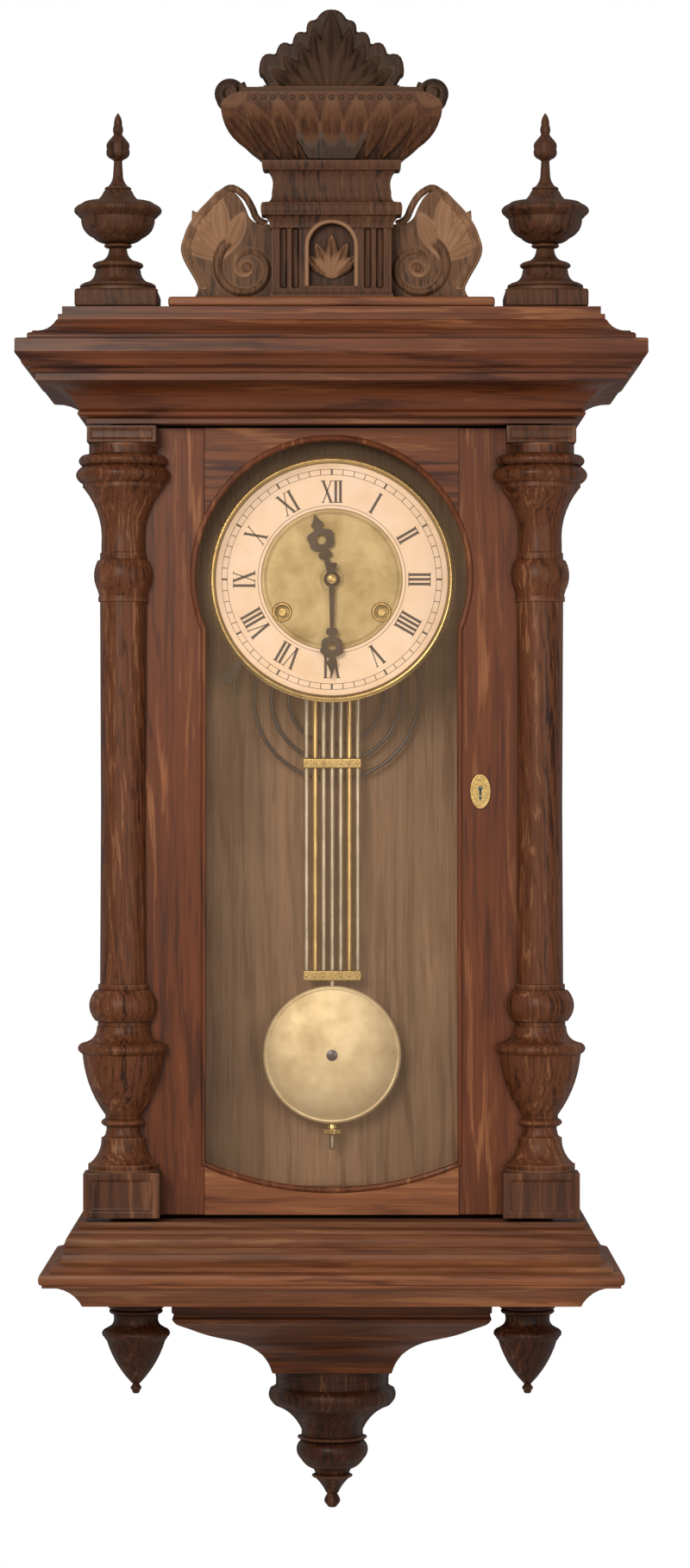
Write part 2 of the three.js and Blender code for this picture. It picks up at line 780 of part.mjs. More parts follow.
const capitalShares = [
  [0.585, 0], [0.685, 0.11], [0.765, 0.23], [0.84, 0.35], [0.92, 0.47], [0.98, 0.59], [1, 0.7], [0.98, 0.82],
  [0.955, 1], [0.9, 1], [0.8, 0.84], [0.62, 0.8], [0, 0.8],
];
const palmetteShares = [
  [0.2, 0], [0.34, 0.2], [0.48, 0.42], [0.61, 0.6], [0.505, 0.69], [0.365, 0.757], [0.236, 0.823],
  [0.175, 0.894], [0.1, 0.965], [0, 1],
];

function crestCapital() {
  const baseZ = crestBaseZ + pillarHeight + seatGap;
  const yBack = crestY - crestThickness / 2 - seatGap - (pillarThickness - capitalThickness) / 2;
  const flare = slab(mirroredOutline(capitalShares, capitalHalf, capitalHeight, baseZ), yBack, capitalThickness);
  const inset = (capitalThickness - palmetteThickness) / 2;
  const crown = slab(mirroredOutline(palmetteShares, capitalHalf, palmetteHeight, baseZ), yBack - inset, palmetteThickness);
  return join(flare, crown);
}

const finialShares = [
  [0, 0], [0.97, 0], [0.68, 0.074], [0.55, 0.132], [0.41, 0.184], [0.22, 0.243], [0.6, 0.301],
  [0.72, 0.36], [0.94, 0.419], [1, 0.474], [0.6, 0.529], [0.29, 0.588], [0.13, 0.66], [0.11, 0.735],
  [0.24, 0.78], [0.28, 0.816], [0.16, 0.875], [0.1, 0.934], [0, 1],
];

function finial(side) {
  const base = corniceTopZ + seatGap;
  const x = side * finialX;
  const foot = block(
    x - finialBlockHalf, x + finialBlockHalf, crestY - finialBlockHalf, crestY + finialBlockHalf, base, base + finialBlockHeight,
  );
  const urn = turnedUpright(
    sized(finialShares, finialRadius, finialHeight), finialSides, x, crestY, base + finialBlockHeight - seatGap,
  );
  return join(foot, urn);
}

// Toothed wheels. Every outline is laid in the x-z plane about its own arbor
const wheelAddendumShare = 0.8;
const wheelDedendumShare = 1.5;
const pinionAddendumShare = 0.7;
const pinionDedendumShare = 1.5;
const leafRootShare = 0.2;
const leafTipShare = 0.1;

function pitchRadius(teeth, module) {
  return teeth * module / 2;
}

function polar(x, z, radius, angle) {
  return [x + radius * Math.cos(angle), z + radius * Math.sin(angle)];
}

function wheelPoints(teeth, module, x, z, phase) {
  const radius = pitchRadius(teeth, module);
  const pitch = 2 * Math.PI / teeth;
  const points = [];
  for (let tooth = 0; tooth < teeth; tooth += 1) {
    const angle = phase + tooth * pitch;
    points.push(polar(x, z, radius + wheelAddendumShare * module, angle));
    points.push(polar(x, z, radius - wheelDedendumShare * module, angle + pitch / 2));
  }
  return points;
}

function pinionPoints(leaves, module, x, z, phase) {
  const radius = pitchRadius(leaves, module);
  const pitch = 2 * Math.PI / leaves;
  const root = radius - pinionDedendumShare * module;
  const tip = radius + pinionAddendumShare * module;
  const points = [];
  for (let leaf = 0; leaf < leaves; leaf += 1) {
    const angle = phase + leaf * pitch;
    points.push(polar(x, z, root, angle - leafRootShare * pitch));
    points.push(polar(x, z, tip, angle - leafTipShare * pitch));
    points.push(polar(x, z, tip, angle + leafTipShare * pitch));
    points.push(polar(x, z, root, angle + leafRootShare * pitch));
  }
  return points;
}

// The phase that puts a gap of the second wheel where the first has a tooth
function meshPhase(first, firstTeeth, firstPhase, second, secondTeethCount) {
  const towards = Math.atan2(second.z - first.z, second.x - first.x);
  const firstPitch = 2 * Math.PI / firstTeeth;
  const secondPitch = 2 * Math.PI / secondTeethCount;
  const turn = (towards - firstPhase) / firstPitch;
  const offset = turn - Math.floor(turn);
  return towards + Math.PI - secondPitch * (0.5 - offset);
}

const spokeCount = 4;
const rimShare = 0.84;
const hubShare = 0.26;
const spokeHalfShare = 0.07;

// Four crossings between the hub and the rim
function addCrossings(shape, radius, x, z) {
  const outer = rimShare * radius;
  const inner = hubShare * radius;
  const half = spokeHalfShare * radius;
  for (let spoke = 0; spoke < spokeCount; spoke += 1) {
    const start = spoke * Math.PI / 2;
    const innerTurn = Math.asin(half / inner);
    const outerTurn = Math.asin(half / outer);
    const points = [];
    for (let step = 0; step <= 2; step += 1) {
      points.push(polar(x, z, inner, start + innerTurn + (Math.PI / 2 - 2 * innerTurn) * step / 2));
    }
    for (let step = 3; step >= 0; step -= 1) {
      points.push(polar(x, z, outer, start + outerTurn + (Math.PI / 2 - 2 * outerTurn) * step / 3));
    }
    shape.holes.push(new THREE.Path(points.map(([px, pz]) => new THREE.Vector2(px, pz))));
  }
}

function wheel(teeth, module, at, phase, yBack, thickness, crossed = true) {
  const shape = shapeOf(wheelPoints(teeth, module, at.x, at.z, phase));
  if (crossed) {
    addCrossings(shape, pitchRadius(teeth, module), at.x, at.z);
  }
  return slab(shape, yBack, thickness);
}

function pinion(leaves, module, at, phase, yBack, length) {
  return slab(shapeOf(pinionPoints(leaves, module, at.x, at.z, phase)), yBack, length);
}

// An arbor with a pivot in each plate
const arborSides = 8;
const pivotRearY = backPlateY + seatGap - plateThickness / 2;
const arborRearY = backPlateY - plateThickness - seatGap;
const arborFrontY = frontPlateY + seatGap;
const pivotFrontY = frontPlateFaceY + plateThickness / 2 - seatGap;

function arborProfile(radius) {
  return [
    [0, pivotFrontY], [pivotRadius, pivotFrontY], [pivotRadius, arborFrontY], [radius, arborFrontY],
    [radius, arborRearY], [pivotRadius, arborRearY], [pivotRadius, pivotRearY], [0, pivotRearY],
  ];
}

function arbor(at, radius = arborRadius) {
  return turnedAlong(arborProfile(radius), arborSides, at.x, at.z);
}

// Places of the arbors
const centre = { x: 0, z: dialZ };
const goingBarrelAt = { x: barrelX, z: dialZ - barrelDrop };
const strikeBarrelAt = { x: -barrelX, z: dialZ - barrelDrop };

// The arbor that keeps two given distances from two others, on the chosen side
function arborBetween(first, firstDistance, second, secondDistance, side) {
  const dx = second.x - first.x;
  const dz = second.z - first.z;
  const span = Math.hypot(dx, dz);
  const along = (firstDistance ** 2 - secondDistance ** 2 + span ** 2) / (2 * span);
  const across = side * Math.sqrt(firstDistance ** 2 - along ** 2);
  return {
    x: first.x + (along * dx - across * dz) / span,
    z: first.z + (along * dz + across * dx) / span,
  };
}

function meshDistance(wheelTeeth, leaves, module) {
  return pitchRadius(wheelTeeth + leaves, module);
}

const greatDistance = meshDistance(greatTeeth, greatPinionLeaves, greatModule);
const secondDistance = meshDistance(secondTeeth, secondPinionLeaves, secondModule);
const centreDistance = meshDistance(centreTeeth, trainPinionLeaves, trainModule);
const thirdDistance = meshDistance(thirdTeeth, trainPinionLeaves, trainModule);
const escapeAt = { x: 0, z: dialZ + escapeRise };
const palletAt = { x: 0, z: dialZ + palletRise };
const secondAt = arborBetween(goingBarrelAt, greatDistance, centre, secondDistance, -1);
const pinWheelAt = { x: -secondAt.x, z: secondAt.z };
const thirdAt = arborBetween(centre, centreDistance, escapeAt, thirdDistance, 1);
const flyAt = { x: pinWheelAt.x - flyDistanceX, z: pinWheelAt.z + flyRise };
const minuteStudDistance = meshDistance(minuteWheelTeeth, cannonLeaves, cannonModule);
const minuteStudAt = {
  x: minuteStudDistance * Math.SQRT1_2, z: dialZ + minuteStudDistance * Math.SQRT1_2,
};

// Layers of the train, each measured from the rear plate towards the front
const insideRearY = backPlateY - plateThickness;
const secondWheelY = insideRearY - secondWheelDepth;
const greatWheelY = insideRearY - greatWheelDepth;
const centreWheelY = insideRearY - centreWheelDepth;
const thirdWheelY = insideRearY - thirdWheelDepth;
const escapeWheelY = insideRearY - escapeWheelDepth;
const pinWheelY = frontPlateY + pinWheelHeight;
const barrelRearY = greatWheelY - wheelThickness;

function barrel(at, phase) {
  const drum = rod(barrelRadius, barrelRearY - barrelLength, barrelRearY + overrun / 2, columnSides, at.x, at.z);
  const great = wheel(greatTeeth, greatModule, at, phase, greatWheelY, wheelThickness, false);
  const shaft = turnedAlong([
    [0, frontPlateFaceY - windingReach], [windingRadius, frontPlateFaceY - windingReach],
    [windingRadius, arborRearY], [pivotRadius, arborRearY], [pivotRadius, pivotRearY], [0, pivotRearY],
  ], arborSides, at.x, at.z);
  return join(drum, great, shaft);
}

const secondPinionPhase = meshPhase(goingBarrelAt, greatTeeth, 0, secondAt, greatPinionLeaves);
const pinPinionPhase = meshPhase(strikeBarrelAt, greatTeeth, 0, pinWheelAt, greatPinionLeaves);
const centrePinionPhase = meshPhase(secondAt, secondTeeth, 0, centre, secondPinionLeaves);
const thirdPinionPhase = meshPhase(centre, centreTeeth, 0, thirdAt, trainPinionLeaves);
const escapePinionPhase = meshPhase(thirdAt, thirdTeeth, 0, escapeAt, trainPinionLeaves);
const flyPinionLeaves = 8;
const pinToFly = Math.hypot(flyDistanceX, flyRise);
const flyModule = 2 * pinToFly / (secondTeeth + flyPinionLeaves);
const flyPinionPhase = meshPhase(pinWheelAt, secondTeeth, 0, flyAt, flyPinionLeaves);
const minuteWheelPhase = meshPhase(centre, cannonLeaves, 0, minuteStudAt, minuteWheelTeeth);
const hourWheelPhase = meshPhase(minuteStudAt, minutePinionLeaves, 0, centre, hourWheelTeeth);

function secondWheel() {
  return join(
    arbor(secondAt),
    wheel(secondTeeth, secondModule, secondAt, 0, secondWheelY, wheelThickness),
    pinion(greatPinionLeaves, greatModule, secondAt, secondPinionPhase, greatWheelY + 0.2 * pinionLength, pinionLength),
  );
}

// The centre arbor carries its wheel, the cannon pinion and, in front of the dial, the minute hand
function centreWheel() {
  const shaft = turnedAlong([
    [0, centreTipY], [arborRadius, centreTipY], [arborRadius, arborRearY], [pivotRadius, arborRearY],
    [pivotRadius, pivotRearY], [0, pivotRearY],
  ], arborSides, centre.x, centre.z);
  return join(
    shaft,
    wheel(centreTeeth, trainModule, centre, 0, centreWheelY, wheelThickness),
    pinion(secondPinionLeaves, secondModule, centre, centrePinionPhase, arborRearY, pinionLength),
    pinion(cannonLeaves, cannonModule, centre, 0, cannonY, motionThickness),
  );
}

const cannonY = frontPlateFaceY - 2 * seatGap;
const minutePinionY = cannonY - motionThickness;
const hourWheelY = minutePinionY - 3 * seatGap;

function thirdWheel() {
  return join(
    arbor(thirdAt),
    wheel(thirdTeeth, trainModule, thirdAt, 0, thirdWheelY, wheelThickness),
    pinion(trainPinionLeaves, trainModule, thirdAt, thirdPinionPhase, centreWheelY + 0.3 * pinionLength, pinionLength),
  );
}

const escapeRootShare = 0.8;
const escapeRakeShare = 0.28;

function escapeWheel() {
  const pitch = 2 * Math.PI / escapeTeeth;
  const points = [];
  for (let tooth = 0; tooth < escapeTeeth; tooth += 1) {
    points.push(polar(escapeAt.x, escapeAt.z, escapeRadius, tooth * pitch));
    points.push(polar(escapeAt.x, escapeAt.z, escapeRootShare * escapeRadius, (tooth + escapeRakeShare) * pitch));
  }
  const shape = shapeOf(points);
  addCrossings(shape, escapeRootShare * escapeRadius, escapeAt.x, escapeAt.z);
  return join(
    arbor(escapeAt),
    slab(shape, escapeWheelY, wheelThickness),
    pinion(trainPinionLeaves, trainModule, escapeAt, escapePinionPhase, thirdWheelY + 0.3 * pinionLength, pinionLength),
  );
}

// Half of the anchor, in shares of the escape wheel's radius from the pallet arbor
const anchorShares = [
  [0, 0.3], [0.43, 0.21], [1, -0.43], [1.2, -0.93], [0.93, -0.955], [0.8, -0.6], [0.36, -0.25], [0, -0.22],
];

function pallets() {
  const right = anchorShares.map(([across, up]) => [across * escapeRadius, palletAt.z + up * escapeRadius]);
  const left = right.slice(1, -1).map(([x, z]) => [-x, z]).reverse();
  const anchor = slab(shapeOf([...right, ...left]), escapeWheelY + palletThickness / 4, palletThickness);
  const crutchFrontY = pendulumY - crutchGapY - crutchThickness;
  const shaft = turnedAlong([
    [0, pivotFrontY], [pivotRadius, pivotFrontY], [pivotRadius, arborFrontY], [arborRadius, arborFrontY],
    [arborRadius, crutchFrontY + crutchThickness], [0, crutchFrontY + crutchThickness],
  ], arborSides, palletAt.x, palletAt.z);
  const stem = block(
    -crutchWidth / 2, crutchWidth / 2, crutchFrontY, crutchFrontY + crutchThickness,
    palletAt.z - crutchLength - crutchWidth, palletAt.z + crutchWidth / 2,
  );
  const foot = block(
    -crutchWidth / 2, gridRodSpacing / 2 + 2 * crutchPinRadius, crutchFrontY, crutchFrontY + crutchThickness,
    palletAt.z - crutchLength - crutchWidth, palletAt.z - crutchLength + crutchWidth,
  );
  const finger = rod(
    crutchPinRadius, crutchFrontY + crutchThickness / 2, pendulumY + gridRodRadius, arborSides,
    gridRodSpacing / 2, palletAt.z - crutchLength,
  );
  return join(anchor, shaft, stem, foot, finger);
}

const crutchGapY = 8;

// Plates
function pivotHole(at, radius = pivotRadius) {
  return rod(radius + runningGap, frontPlateFaceY - overrun, backPlateY + overrun, arborSides, at.x, at.z);
}

function plateBlock(yBack) {
  return block(-plateHalf, plateHalf, yBack - plateThickness, yBack, dialZ - plateBelow, dialZ + plateAbove);
}

const pillarPlaces = [
  [-pillarLowX, -pillarLow], [pillarLowX, -pillarLow], [-pillarHighX, pillarHigh], [pillarHighX, pillarHigh],
];

function backPlate() {
  const holes = [goingBarrelAt, strikeBarrelAt, secondAt, centre, thirdAt, escapeAt, pinWheelAt, flyAt];
  const pierced = cut(
    plateBlock(backPlateY), ...holes.map((at) => pivotHole(at)), pivotHole(palletAt, arborRadius),
  );
  const pillars = pillarPlaces.map(([x, up]) => rod(
    pillarRadius, frontPlateY + seatGap, backPlateY - plateThickness / 2, arborSides, x, dialZ + up,
  ));
  const stud = rod(
    hammerStudRadius, backPlateY - plateThickness / 2, hammerY + seatGap + plateThickness, arborSides, hammerX, dialZ - hammerDrop,
  );
  return join(pierced, ...pillars, stud);
}

const hammerY = backPlateY + 2 * hammerThickness;

function frontPlate() {
  const holes = [secondAt, thirdAt, escapeAt, pinWheelAt, flyAt, palletAt];
  const pierced = cut(
    plateBlock(frontPlateY), ...holes.map((at) => pivotHole(at)), pivotHole(centre, arborRadius),
    pivotHole(goingBarrelAt, windingRadius), pivotHole(strikeBarrelAt, windingRadius),
  );
  const stud = rod(
    minuteStudRadius, hourWheelY - motionThickness, frontPlateY - plateThickness / 2, arborSides, minuteStudAt.x, minuteStudAt.z,
  );
  return join(pierced, stud);
}

// Motion work
function minuteWheel() {
  const bore = rod(minuteStudRadius + runningGap, dialPlateY, frontPlateY, arborSides, minuteStudAt.x, minuteStudAt.z);
  return cut(join(
    wheel(minuteWheelTeeth, cannonModule, minuteStudAt, minuteWheelPhase, cannonY, motionThickness, false),
    pinion(minutePinionLeaves, motionModule, minuteStudAt, 0, minutePinionY + seatGap, 3 * motionThickness),
  ), bore);
}

function hourWheel() {
  const pipeFront = hourHandY - handThickness;
  const pipe = rod(hourPipeRadius, pipeFront, hourWheelY, handSides, centre.x, centre.z);
  const bore = rod(hourPipeBore, pipeFront - overrun, hourWheelY + overrun, handSides, centre.x, centre.z);
  return cut(join(
    wheel(hourWheelTeeth, motionModule, centre, hourWheelPhase, hourWheelY, motionThickness, false), pipe,
  ), bore);
}

// Hands point along +Z here and are then turned to half past eleven
const minuteHandShares = [
  [0.035, -0.16], [0.05, 0], [0.03, 0.08], [0.03, 0.55], [0.075, 0.66], [0.085, 0.72], [0.06, 0.79], [0.022, 0.84], [0, 1],
];
const hourHandShares = [
  [0.05, -0.1], [0.08, 0], [0.045, 0.12], [0.045, 0.42], [0.13, 0.56], [0.15, 0.66], [0.1, 0.77], [0.035, 0.84], [0, 1],
];

function hand(shares, length, eyeShare, bossRadius, bore, yBack, turn) {
  const outline = mirroredOutline(shares, length, length, 0);
  const blade = slab(outline, yBack, handThickness);
  const boss = rod(bossRadius, yBack - handThickness, yBack, handSides, 0, 0);
  const hole = rod(bore, yBack - handThickness - overrun, yBack + overrun, handSides, 0, 0);
  const eye = rod(
    eyeShare * length, yBack - handThickness - overrun, yBack + overrun, handSides, 0, 0.69 * length,
  );
  return cut(join(blade, boss), hole, eye).rotateY(turn).translate(0, 0, dialZ);
}

const minuteTurn = Math.PI;
const hourTurn = -Math.PI / 12;

// Dial
function dialPlate() {
  const disc = rod(dialRadius - bezelWidth / 2, dialPlateY - dialThickness, dialPlateY, bobSides, centre.x, centre.z);
  const hole = (at, radius) => rod(radius, dialPlateY - dialThickness - overrun, dialPlateY + overrun, handSides, at.x, at.z);
  const pierced = cut(
    disc, hole(centre, dialHoleRadius), hole(goingBarrelAt, windingHoleRadius), hole(strikeBarrelAt, windingHoleRadius),
  );
  const feet = [];
  for (const sideX of [-1, 1]) {
    for (const sideZ of [-1, 1]) {
      feet.push(rod(
        dialFootRadius, dialPlateY - dialThickness / 2, frontPlateFaceY - seatGap, arborSides,
        sideX * dialFootX, dialZ + sideZ * dialFootZ,
      ));
    }
  }
  return join(pierced, ...feet);
}

function chapterRing() {
  const back = dialPlateY - dialThickness - seatGap;
  return ring(chapterInnerRadius, dialRadius - bezelWidth, back - dialThickness, back, dialSides, centre.x, centre.z);
}

function bezel() {
  const back = dialPlateY - dialThickness - seatGap;
  const inner = dialRadius - bezelWidth + seatGap;
  const profile = [
    [inner, back], [inner, back - bezelHeight / 2], [inner + bezelWidth / 4, back - bezelHeight],
    [inner + bezelWidth / 2, back - bezelHeight], [dialRadius, back - bezelHeight / 2], [dialRadius, back], [inner, back],
  ];
  return turnedAlong(profile, dialSides, centre.x, centre.z);
}

// Strike side
function pinWheel() {
  const pins = [];
  for (let pin = 0; pin < pinCount; pin += 1) {
    const [x, z] = polar(pinWheelAt.x, pinWheelAt.z, pinCircleRadius, 2 * Math.PI * (pin + 0.5) / pinCount);
    pins.push(rod(pinRadius, pinWheelY - wheelThickness / 2, pinWheelY + pinLength, arborSides, x, z));
  }
  return join(
    arbor(pinWheelAt),
    wheel(secondTeeth, flyModule, pinWheelAt, 0, pinWheelY, wheelThickness, false),
    pinion(greatPinionLeaves, greatModule, pinWheelAt, pinPinionPhase, greatWheelY + 0.2 * pinionLength, pinionLength),
    ...pins,
  );
}

function fly() {
  const vane = block(
    flyAt.x - flyHalf, flyAt.x + flyHalf, pinWheelY + pinLength + flyPinGap, barrelRearY - flyRearGap,
    flyAt.z - flyThickness / 2, flyAt.z + flyThickness / 2,
  );
  return join(
    arbor(flyAt), vane,
    pinion(flyPinionLeaves, flyModule, flyAt, flyPinionPhase, pinWheelY + 0.2 * pinionLength, pinionLength - wheelThickness),
  );
}

function hammer() {
  const at = { x: hammerX, z: dialZ - hammerDrop };
  const head = { x: at.x - hammerReachX, z: at.z - hammerReachZ };
  const rear = hammerY - hammerThickness;
  const boss = rod(hammerBossRadius, rear, hammerY, handSides, at.x, at.z);
  const length = Math.hypot(hammerReachX, hammerReachZ);
  const arm = block(-hammerThickness, hammerThickness, rear, hammerY, -length, 0)
    .rotateY(Math.atan2(hammerReachX, hammerReachZ)).translate(at.x, 0, at.z);
  const striker = rod(hammerHeadRadius, rear, gongY + 3 * gongWireRadius, handSides, head.x, head.z);
  const bore = rod(hammerStudRadius + runningGap, rear - overrun, hammerY + overrun, arborSides, at.x, at.z);
  return cut(join(boss, arm, striker), bore);
}

// The gong wire winds out from its post in one plane
function gongPath() {
  const points = [];
  const lead = gongPostRadius + seatGap;
  const total = gongLoops * stepsPerLoop;
  for (let step = 0; step <= total; step += 1) {
    const share = step / total;
    const angle = share * gongLoops * 2 * Math.PI;
    const radius = gongInnerRadius + share * (gongRadius - gongInnerRadius);
    points.push(new THREE.Vector3(radius * Math.cos(angle), gongY, gongZ + radius * Math.sin(angle)));
  }
  const entry = (gongInnerRadius - lead) / 3;
  const start = [0, 1, 2].map((step) => new THREE.Vector3(lead + step * entry, gongY, gongZ));
  return { points: [...start, ...points.slice(2)], coil: points };
}

function leastTurnGap(points) {
  let least = Infinity;
  for (let first = 0; first < points.length; first += 1) {
    for (let second = first + stepsPerLoop / 2; second < points.length; second += 1) {
      least = Math.min(least, points[first].distanceTo(points[second]) - 2 * gongWireRadius);
    }
  }
  return least;
}

function gongCoil() {
  const { points, coil } = gongPath();
  console.log(`gong wire: least gap to itself ${leastTurnGap(coil).toFixed(2)} mm`);
  const normal = new THREE.Vector3(0, 1, 0);
  const rows = points.map((point, place_) => {
    const before = points[Math.max(place_ - 1, 0)];
    const after = points[Math.min(place_ + 1, points.length - 1)];
    const along = after.clone().sub(before).normalize();
    const across = along.clone().cross(normal).normalize();
    const row = [];
    for (let side = 0; side < wireSides; side += 1) {
      const angle = 2 * Math.PI * side / wireSides;
      row.push(point.clone()
        .addScaledVector(across, gongWireRadius * Math.cos(angle))
        .addScaledVector(normal, gongWireRadius * Math.sin(angle)));
    }
    return row;
  });
  const positions = rows.flat().flatMap((point) => point.toArray());
  const index = [];
  for (let row = 0; row + 1 < rows.length; row += 1) {
    for (let side = 0; side < wireSides; side += 1) {
      const a = row * wireSides + side;
      const b = row * wireSides + (side + 1) % wireSides;
      index.push(a, b + wireSides, b, a, a + wireSides, b + wireSides);
    }
  }
  const last = (rows.length - 1) * wireSides;
  for (let side = 1; side + 1 < wireSides; side += 1) {
    index.push(0, side, side + 1, last, last + side + 1, last + side);
  }
  const geometry = new THREE.BufferGeometry();
  geometry.setAttribute('position', new THREE.Float32BufferAttribute(positions, 3));
  geometry.setIndex(index);
  return geometry;
}

function gongPost() {
  return rod(gongPostRadius, gongY - 2 * gongWireRadius, -backThickness - seatGap, handSides, 0, gongZ);
}

// Bracket from the backboard to the rear of the movement
function movementBracket() {
  const wallY = -backThickness - seatGap;
  const faceY = backPlateY + seatGap;
  const low = dialZ - bracketBelow;
  const high = dialZ + bracketRise;
  const inner = plateHalf + seatGap;
  const outer = inner + bracketArm;
  const back = block(-outer, outer, wallY - bracketThickness, wallY, low, high);
  const arm = (side) => block(
    Math.min(side * inner, side * outer), Math.max(side * inner, side * outer), faceY, wallY, low, high,
  );
  const foot = (side) => block(
    Math.min(side * outer, side * (outer - bracketFoot)), Math.max(side * outer, side * (outer - bracketFoot)),
    faceY, faceY + bracketThickness, low, high,
  );
  return join(back, arm(-1), arm(1), foot(-1), foot(1));
}

// Pendulum and its suspension. The spring bends level with the pallet arbor
const bendZ = palletAt.z;

function pendulumCock() {
  const rear = backPlateY + seatGap;
  const base = block(-cockHalf, cockHalf, rear, rear + cockThickness, bendZ - cockHalf, bendZ + springTopRise + cockThickness);
  const armLow = bendZ + springTopRise + cockThickness - cockArmHeight;
  const tipY = pendulumY + springWidth / 2 + cockThickness;
  const arm = block(-cockArmHalf, cockArmHalf, rear, tipY, armLow, armLow + cockArmHeight);
  const slot = block(
    -cockSlotHalf, cockSlotHalf, pendulumY - springWidth / 2 - runningGap, tipY + overrun,
    armLow - overrun, armLow + cockArmHeight - cockThickness + seatGap,
  );
  const hole = rod(cockPalletHole, rear - overrun, rear + cockThickness + overrun, handSides, 0, bendZ);
  const pin = springPin(cockArmHalf - seatGap);
  return join(cut(join(base, arm), slot, hole), pin);
}

const springPinRise = 13.5;

function springPin(halfLength) {
  const geometry = rodUpright(springPinRadius, -halfLength, halfLength, arborSides, 0, 0).rotateY(Math.PI / 2);
  return geometry.translate(0, pendulumY, bendZ + springPinRise);
}

function springEye() {
  const geometry = rodUpright(springEyeRadius, -overrun, overrun, handSides, 0, 0).rotateY(Math.PI / 2);
  return geometry.translate(0, pendulumY, bendZ + springPinRise);
}

function suspensionSpring() {
  const strip = block(
    -springThickness / 2, springThickness / 2, pendulumY - springWidth / 2, pendulumY + springWidth / 2,
    bendZ - springDrop - springBlockHeight / 2, bendZ + springTopRise - 2 * seatGap,
  );
  const foot = block(
    -springBlockHalf, springBlockHalf, pendulumY - springWidth / 2 - seatGap, pendulumY + springWidth / 2 + seatGap,
    bendZ - springDrop - springBlockHeight, bendZ - springDrop,
  );
  return join(cut(strip, springEye()), foot);
}

function pendulumRods() {
  const outer = gridRodsEachSide * gridRodSpacing + 1.2 * gridRodRadius;
  const bar = (topZ, half) => block(
    -half, half, pendulumY - gridBarThickness / 2, pendulumY + gridBarThickness / 2, topZ - gridBarHeight, topZ,
  );
  const parts = [bar(gridTopZ, outer), bar(gridBottomZ, outer), bar((gridTopZ + gridBottomZ) / 2, outer)];
  for (let place_ = -gridRodsEachSide; place_ <= gridRodsEachSide; place_ += 1) {
    if (place_ !== 0) {
      parts.push(rodUpright(
        gridRodRadius, gridBottomZ - gridBarHeight / 2, gridTopZ - gridBarHeight / 2, arborSides,
        place_ * gridRodSpacing, pendulumY,
      ));
    }
  }
  const hookTop = bendZ - springDrop - springBlockHeight - seatGap;
  parts.push(rodUpright(gridRodRadius, rodEndZ, hookTop - overrun, arborSides, 0, pendulumY));
  parts.push(block(
    -springBlockHalf, springBlockHalf, pendulumY - springWidth / 2, pendulumY + springWidth / 2, gridTopZ - overrun, hookTop,
  ));
  return join(...parts);
}

const bobShares = [[0, -1], [0.3, -0.94], [0.6, -0.76], [0.82, -0.5], [0.94, -0.28], [1, -0.14]];

function bob() {
  const half = bobThickness / 2;
  const front = bobShares.map(([across, out]) => [across * bobRadius, pendulumY + out * half]);
  const rear = bobShares.map(([across, out]) => [across * bobRadius, pendulumY - out * half]).reverse();
  const lens = turnedAlong([...front, ...rear], bobSides, 0, bobZ);
  const bore = rodUpright(
    gridRodRadius + runningGap, bobZ - 2 * bobRadius, bobZ + 2 * bobRadius, arborSides, 0, pendulumY,
  );
  return cut(lens, bore);
}

function ratingNut() {
  const top = bobZ - bobRadius - runningGap;
  const nut = rodUpright(nutRadius, top - nutHeight, top, handSides, 0, pendulumY);
  const bore = rodUpright(gridRodRadius + runningGap, top - 2 * nutHeight, top + nutHeight, arborSides, 0, pendulumY);
  return cut(nut, bore);
}

// Assembly: case
place('backboard', backboard(), walnut);
place('hanger_plate', hangerPlate(), brass);
for (const [name, side] of [['left', -1], ['right', 1]]) {
  place(`side_${name}`, sideBoard(side), walnut);
  place(`side_glass_${name}`, sidePane(side), pane);
}
place('top_board', shelf(caseTopZ - shelfThickness), walnut);
place('bottom_board', shelf(caseBottomZ), walnut);
place('cornice', cornice(), darkWalnut);
place('base_moulding', baseMoulding(), walnut);
place('apron', apron(), walnut);
place('drop', drop(), darkWalnut);
place('crest_plinth', crestPlinth(), darkWalnut);
place('crest_panel', crestPanel(), carvedWalnut);
place('crest_pillar', crestPillar(), carvedWalnut);
place('crest_capital', crestCapital(), carvedWalnut);
for (const [name, side] of [['left', -1], ['right', 1]]) {
  place(`finial_${name}`, finial(side), carvedWalnut);
  place(`corner_pendant_${name}`, cornerPendant(side), darkWalnut);
}
for (const name of ['upper', 'lower']) {
  place(`hinge_${name}_case_leaf`, hingeLeaf(hingeCentres[name], -1), brass);
  place(`hinge_${name}_door_leaf`, hingeLeaf(hingeCentres[name], 1), brass);
}

// Assembly: door
for (const [name, side] of [['left', -1], ['right', 1]]) {
  place(`door_stile_${name}`, doorStile(side), walnut);
  place(`column_${name}`, columnAt(side), darkWalnut);
}
place('door_top_rail', doorRail(dialZ, doorTopZ), walnut);
place('door_bottom_rail', doorRail(doorBottomZ, sightBottomZ + 1.5 * sightBottomRise), walnut);
place('door_glass', doorGlass(), pane);
place('lock_escutcheon', escutcheon(), brass);
place('lock_cam', lockCam(), steel);

